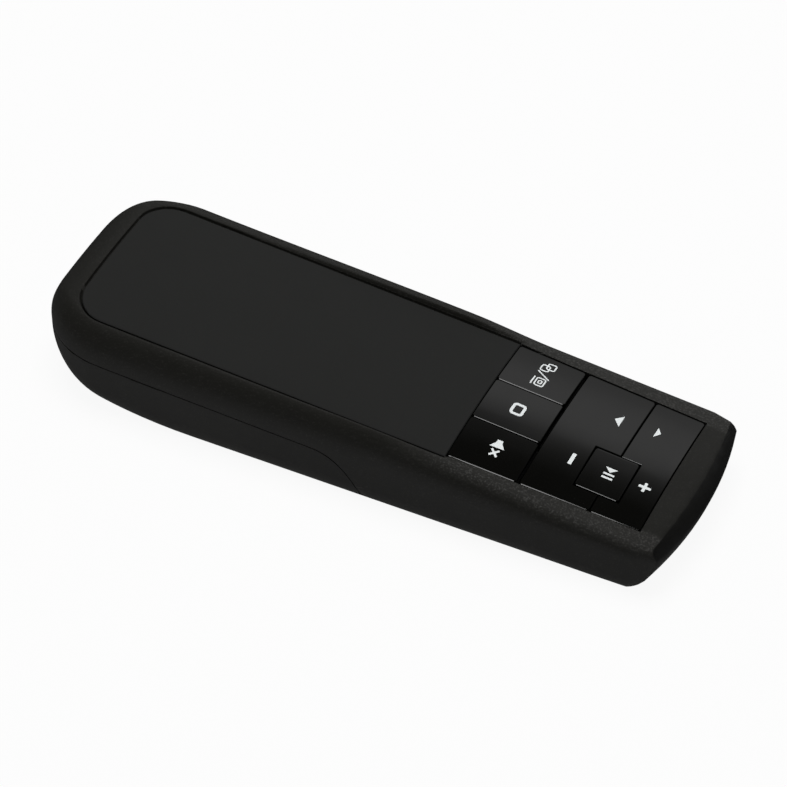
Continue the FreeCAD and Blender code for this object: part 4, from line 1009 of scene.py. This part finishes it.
@dataclass(frozen=True)
class Lamp:
    """Square soft box that faces the clicker, in metres and watts."""

    name: str
    place: Triple
    size: float
    power: float
    mirrored: bool

    def light(self) -> bpy.types.Object:
        """Returns the lamp, which gloss shows only where it is mirrored."""
        data = bpy.data.lights.new(self.name, "AREA")
        data.shape = "SQUARE"
        data.size = self.size
        data.energy = self.power
        thing = bpy.data.objects.new(self.name, data)
        thing.location = self.place
        thing.rotation_euler = (-Vector(self.place)).to_track_quat("-Z", "Y").to_euler()
        thing.visible_glossy = self.mirrored
        bpy.context.scene.collection.objects.link(thing)
        return thing


@dataclass
class Studio:
    """Pale floor, soft lamps and a white surround that darkens overhead, beside and before the clicker."""

    floor_half: float = 3.0
    floor_drop: float = 0.1 * MM
    floor_grey: float = 0.82
    falloff: Point = (-0.05, 0.01)
    mirrored_floor: Point = (0.22, 0.03)
    glow_shares: Point = (0.75, 0.93)
    overhead: tuple[Point, ...] = ((0.02, 1.0), (0.08, 0.30), (0.48, 0.16), (0.60, 0.46), (0.66, 0.70),
                                   (0.73, 0.76), (0.757, 0.55), (0.775, 0.28), (0.80, 0.12), (0.837, 0.02),
                                   (0.98, 0.01))
    beside: tuple[Point, Point] = ((0.3, 0.75), (1.0, 0.25))
    before: tuple[Point, Point] = ((-0.15, 0.25), (0.04, 1.0))
    fill: float = 0.12
    softbox: Lamp = Lamp("key_softbox", (-0.05, 0.1, 0.98), 0.6, 8.2, False)
    strip: Lamp = Lamp("edge_strip", (-0.22, -0.76, 0.61), 0.28, 1.6, True)

    def paper(self) -> bpy.types.Material:
        """Returns the floor's material: it keeps the shadow, dims in gloss and is clear from below."""
        material = bpy.data.materials.new("floor_paper")
        material.use_nodes = True
        graph = Graph(material.node_tree)
        matt = graph.node("BsdfDiffuse")
        graph.feed(matt.inputs["Color"], (*(self.floor_grey,) * 3, 1.0))
        path = graph.node("LightPath")
        along = graph.split(graph.node("TexCoord").outputs["Object"])[1]
        level = graph.node("Mix")
        graph.feed(level.inputs["Factor"], path.outputs["Is Glossy Ray"])
        graph.feed(level.inputs["A"], 1.0)
        graph.feed(level.inputs["B"], graph.ranged(along, self.falloff, self.mirrored_floor))
        seen = graph.ranged(path.outputs["Is Camera Ray"], (0.0, 1.0), self.glow_shares)
        share = graph.math("MAXIMUM", seen, path.outputs["Is Glossy Ray"])
        glow = graph.shine("Emission", level.outputs["Result"])
        top = graph.blend(share, matt.outputs[0], glow)
        below = graph.node("NewGeometry").outputs["Backfacing"]
        surface = graph.blend(below, top, graph.node("BsdfTransparent").outputs[0])
        graph.feed(graph.node("OutputMaterial").inputs["Surface"], surface)
        return material

    def floor(self) -> bpy.types.Object:
        """Returns the floor."""
        shape = bmesh.new()
        bmesh.ops.create_grid(shape, x_segments=1, y_segments=1, size=self.floor_half)
        bmesh.ops.translate(shape, verts=shape.verts, vec=(0, 0, -self.floor_drop))
        mesh = bpy.data.meshes.new("floor")
        shape.to_mesh(mesh)
        shape.free()
        mesh.materials.append(self.paper())
        ground = bpy.data.objects.new("floor", mesh)
        bpy.context.scene.collection.objects.link(ground)
        return ground

    def surround(self) -> bpy.types.World:
        """Returns the world: white to the camera, graded in gloss and glass, grey light otherwise."""
        world = bpy.data.worlds.new("surround")
        world.use_nodes = True
        graph = Graph(world.node_tree)
        path = graph.node("LightPath")
        mirrored = graph.math("MAXIMUM", path.outputs["Is Glossy Ray"], path.outputs["Is Transmission Ray"])
        seen = graph.math("MAXIMUM", path.outputs["Is Camera Ray"], mirrored)
        x, y, z = graph.split(graph.node("TexCoord").outputs["Generated"])
        height = graph.node("ValToRGB")
        graph.feed(height.inputs["Fac"], z)
        stops = height.color_ramp.elements
        for place, grey in self.overhead:
            stops.new(place).color = (grey, grey, grey, 1.0)
        stops.remove(stops[0])
        stops.remove(stops[-1])
        flags = graph.math("MULTIPLY", graph.ranged(graph.math("ABSOLUTE", x), *self.beside),
                           graph.ranged(y, *self.before))
        dim = graph.math("MULTIPLY", height.outputs["Color"], flags)
        shown = graph.shine("Background", graph.math("MAXIMUM", dim, path.outputs["Is Camera Ray"]))
        light = graph.blend(seen, graph.shine("Background", self.fill), shown)
        graph.feed(graph.node("OutputWorld").inputs["Surface"], light)
        bpy.context.scene.world = world
        return world

    def build(self, keys: list[bpy.types.Object]) -> None:
        """Sets up floor, lamps and surround.

        Args:
            keys: Glossy keys, the only pieces that the edge strip lights.
        """
        self.floor()
        self.softbox.light()
        lit = bpy.data.collections.new("edge_lit")
        for key in keys:
            lit.objects.link(key)
        self.strip.light().light_linking.receiver_collection = lit
        self.surround()


@dataclass
class Camera:
    """Camera that looks at the clicker as the photograph does."""

    azimuth: float = 26.641
    elevation: float = 45.814
    pixels_per_mm: float = 5.318
    focal_pixels: float = 3732.6
    move: Point = (-6.94, 24.66)
    frame_pixels: float = 787.0
    sensor_mm: float = 36.0
    clip: Point = (0.05, 20.0)

    def build(self) -> bpy.types.Object:
        """Returns the camera."""
        around, above = math.radians(self.azimuth), math.radians(self.elevation)
        right = Vector((math.cos(around), math.sin(around), 0.0))
        rise = math.sin(above)
        up = Vector((-math.sin(around) * rise, math.cos(around) * rise, math.cos(above)))
        back = right.cross(up)
        data = bpy.data.cameras.new("camera")
        data.sensor_width = self.sensor_mm
        data.lens = self.focal_pixels / self.frame_pixels * self.sensor_mm
        data.shift_x = -self.move[0] / self.frame_pixels
        data.shift_y = self.move[1] / self.frame_pixels
        data.clip_start, data.clip_end = self.clip
        thing = bpy.data.objects.new("camera", data)
        turn = Matrix((right, up, back)).transposed()
        distance = self.focal_pixels / self.pixels_per_mm * MM
        thing.matrix_world = Matrix.Translation(back * distance) @ turn.to_4x4()
        bpy.context.scene.collection.objects.link(thing)
        bpy.context.scene.camera = thing
        return thing


def main() -> None:
    """Builds the dressed clicker and its studio."""
    logging.basicConfig(level=logging.INFO, format="%(name)s: %(message)s")
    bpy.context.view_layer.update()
    keypad = Keypad()
    keys = keypad.keys()
    for piece in Shells().build() + keys + keypad.signs():
        LOG.info("%s: %d faces", piece.name, len(piece.data.polygons))
    Internals().build()
    Studio().build(keys)
    Camera().build()
    bpy.context.scene.view_settings.view_transform = "Standard"


if __name__ == "__main__":
    main()
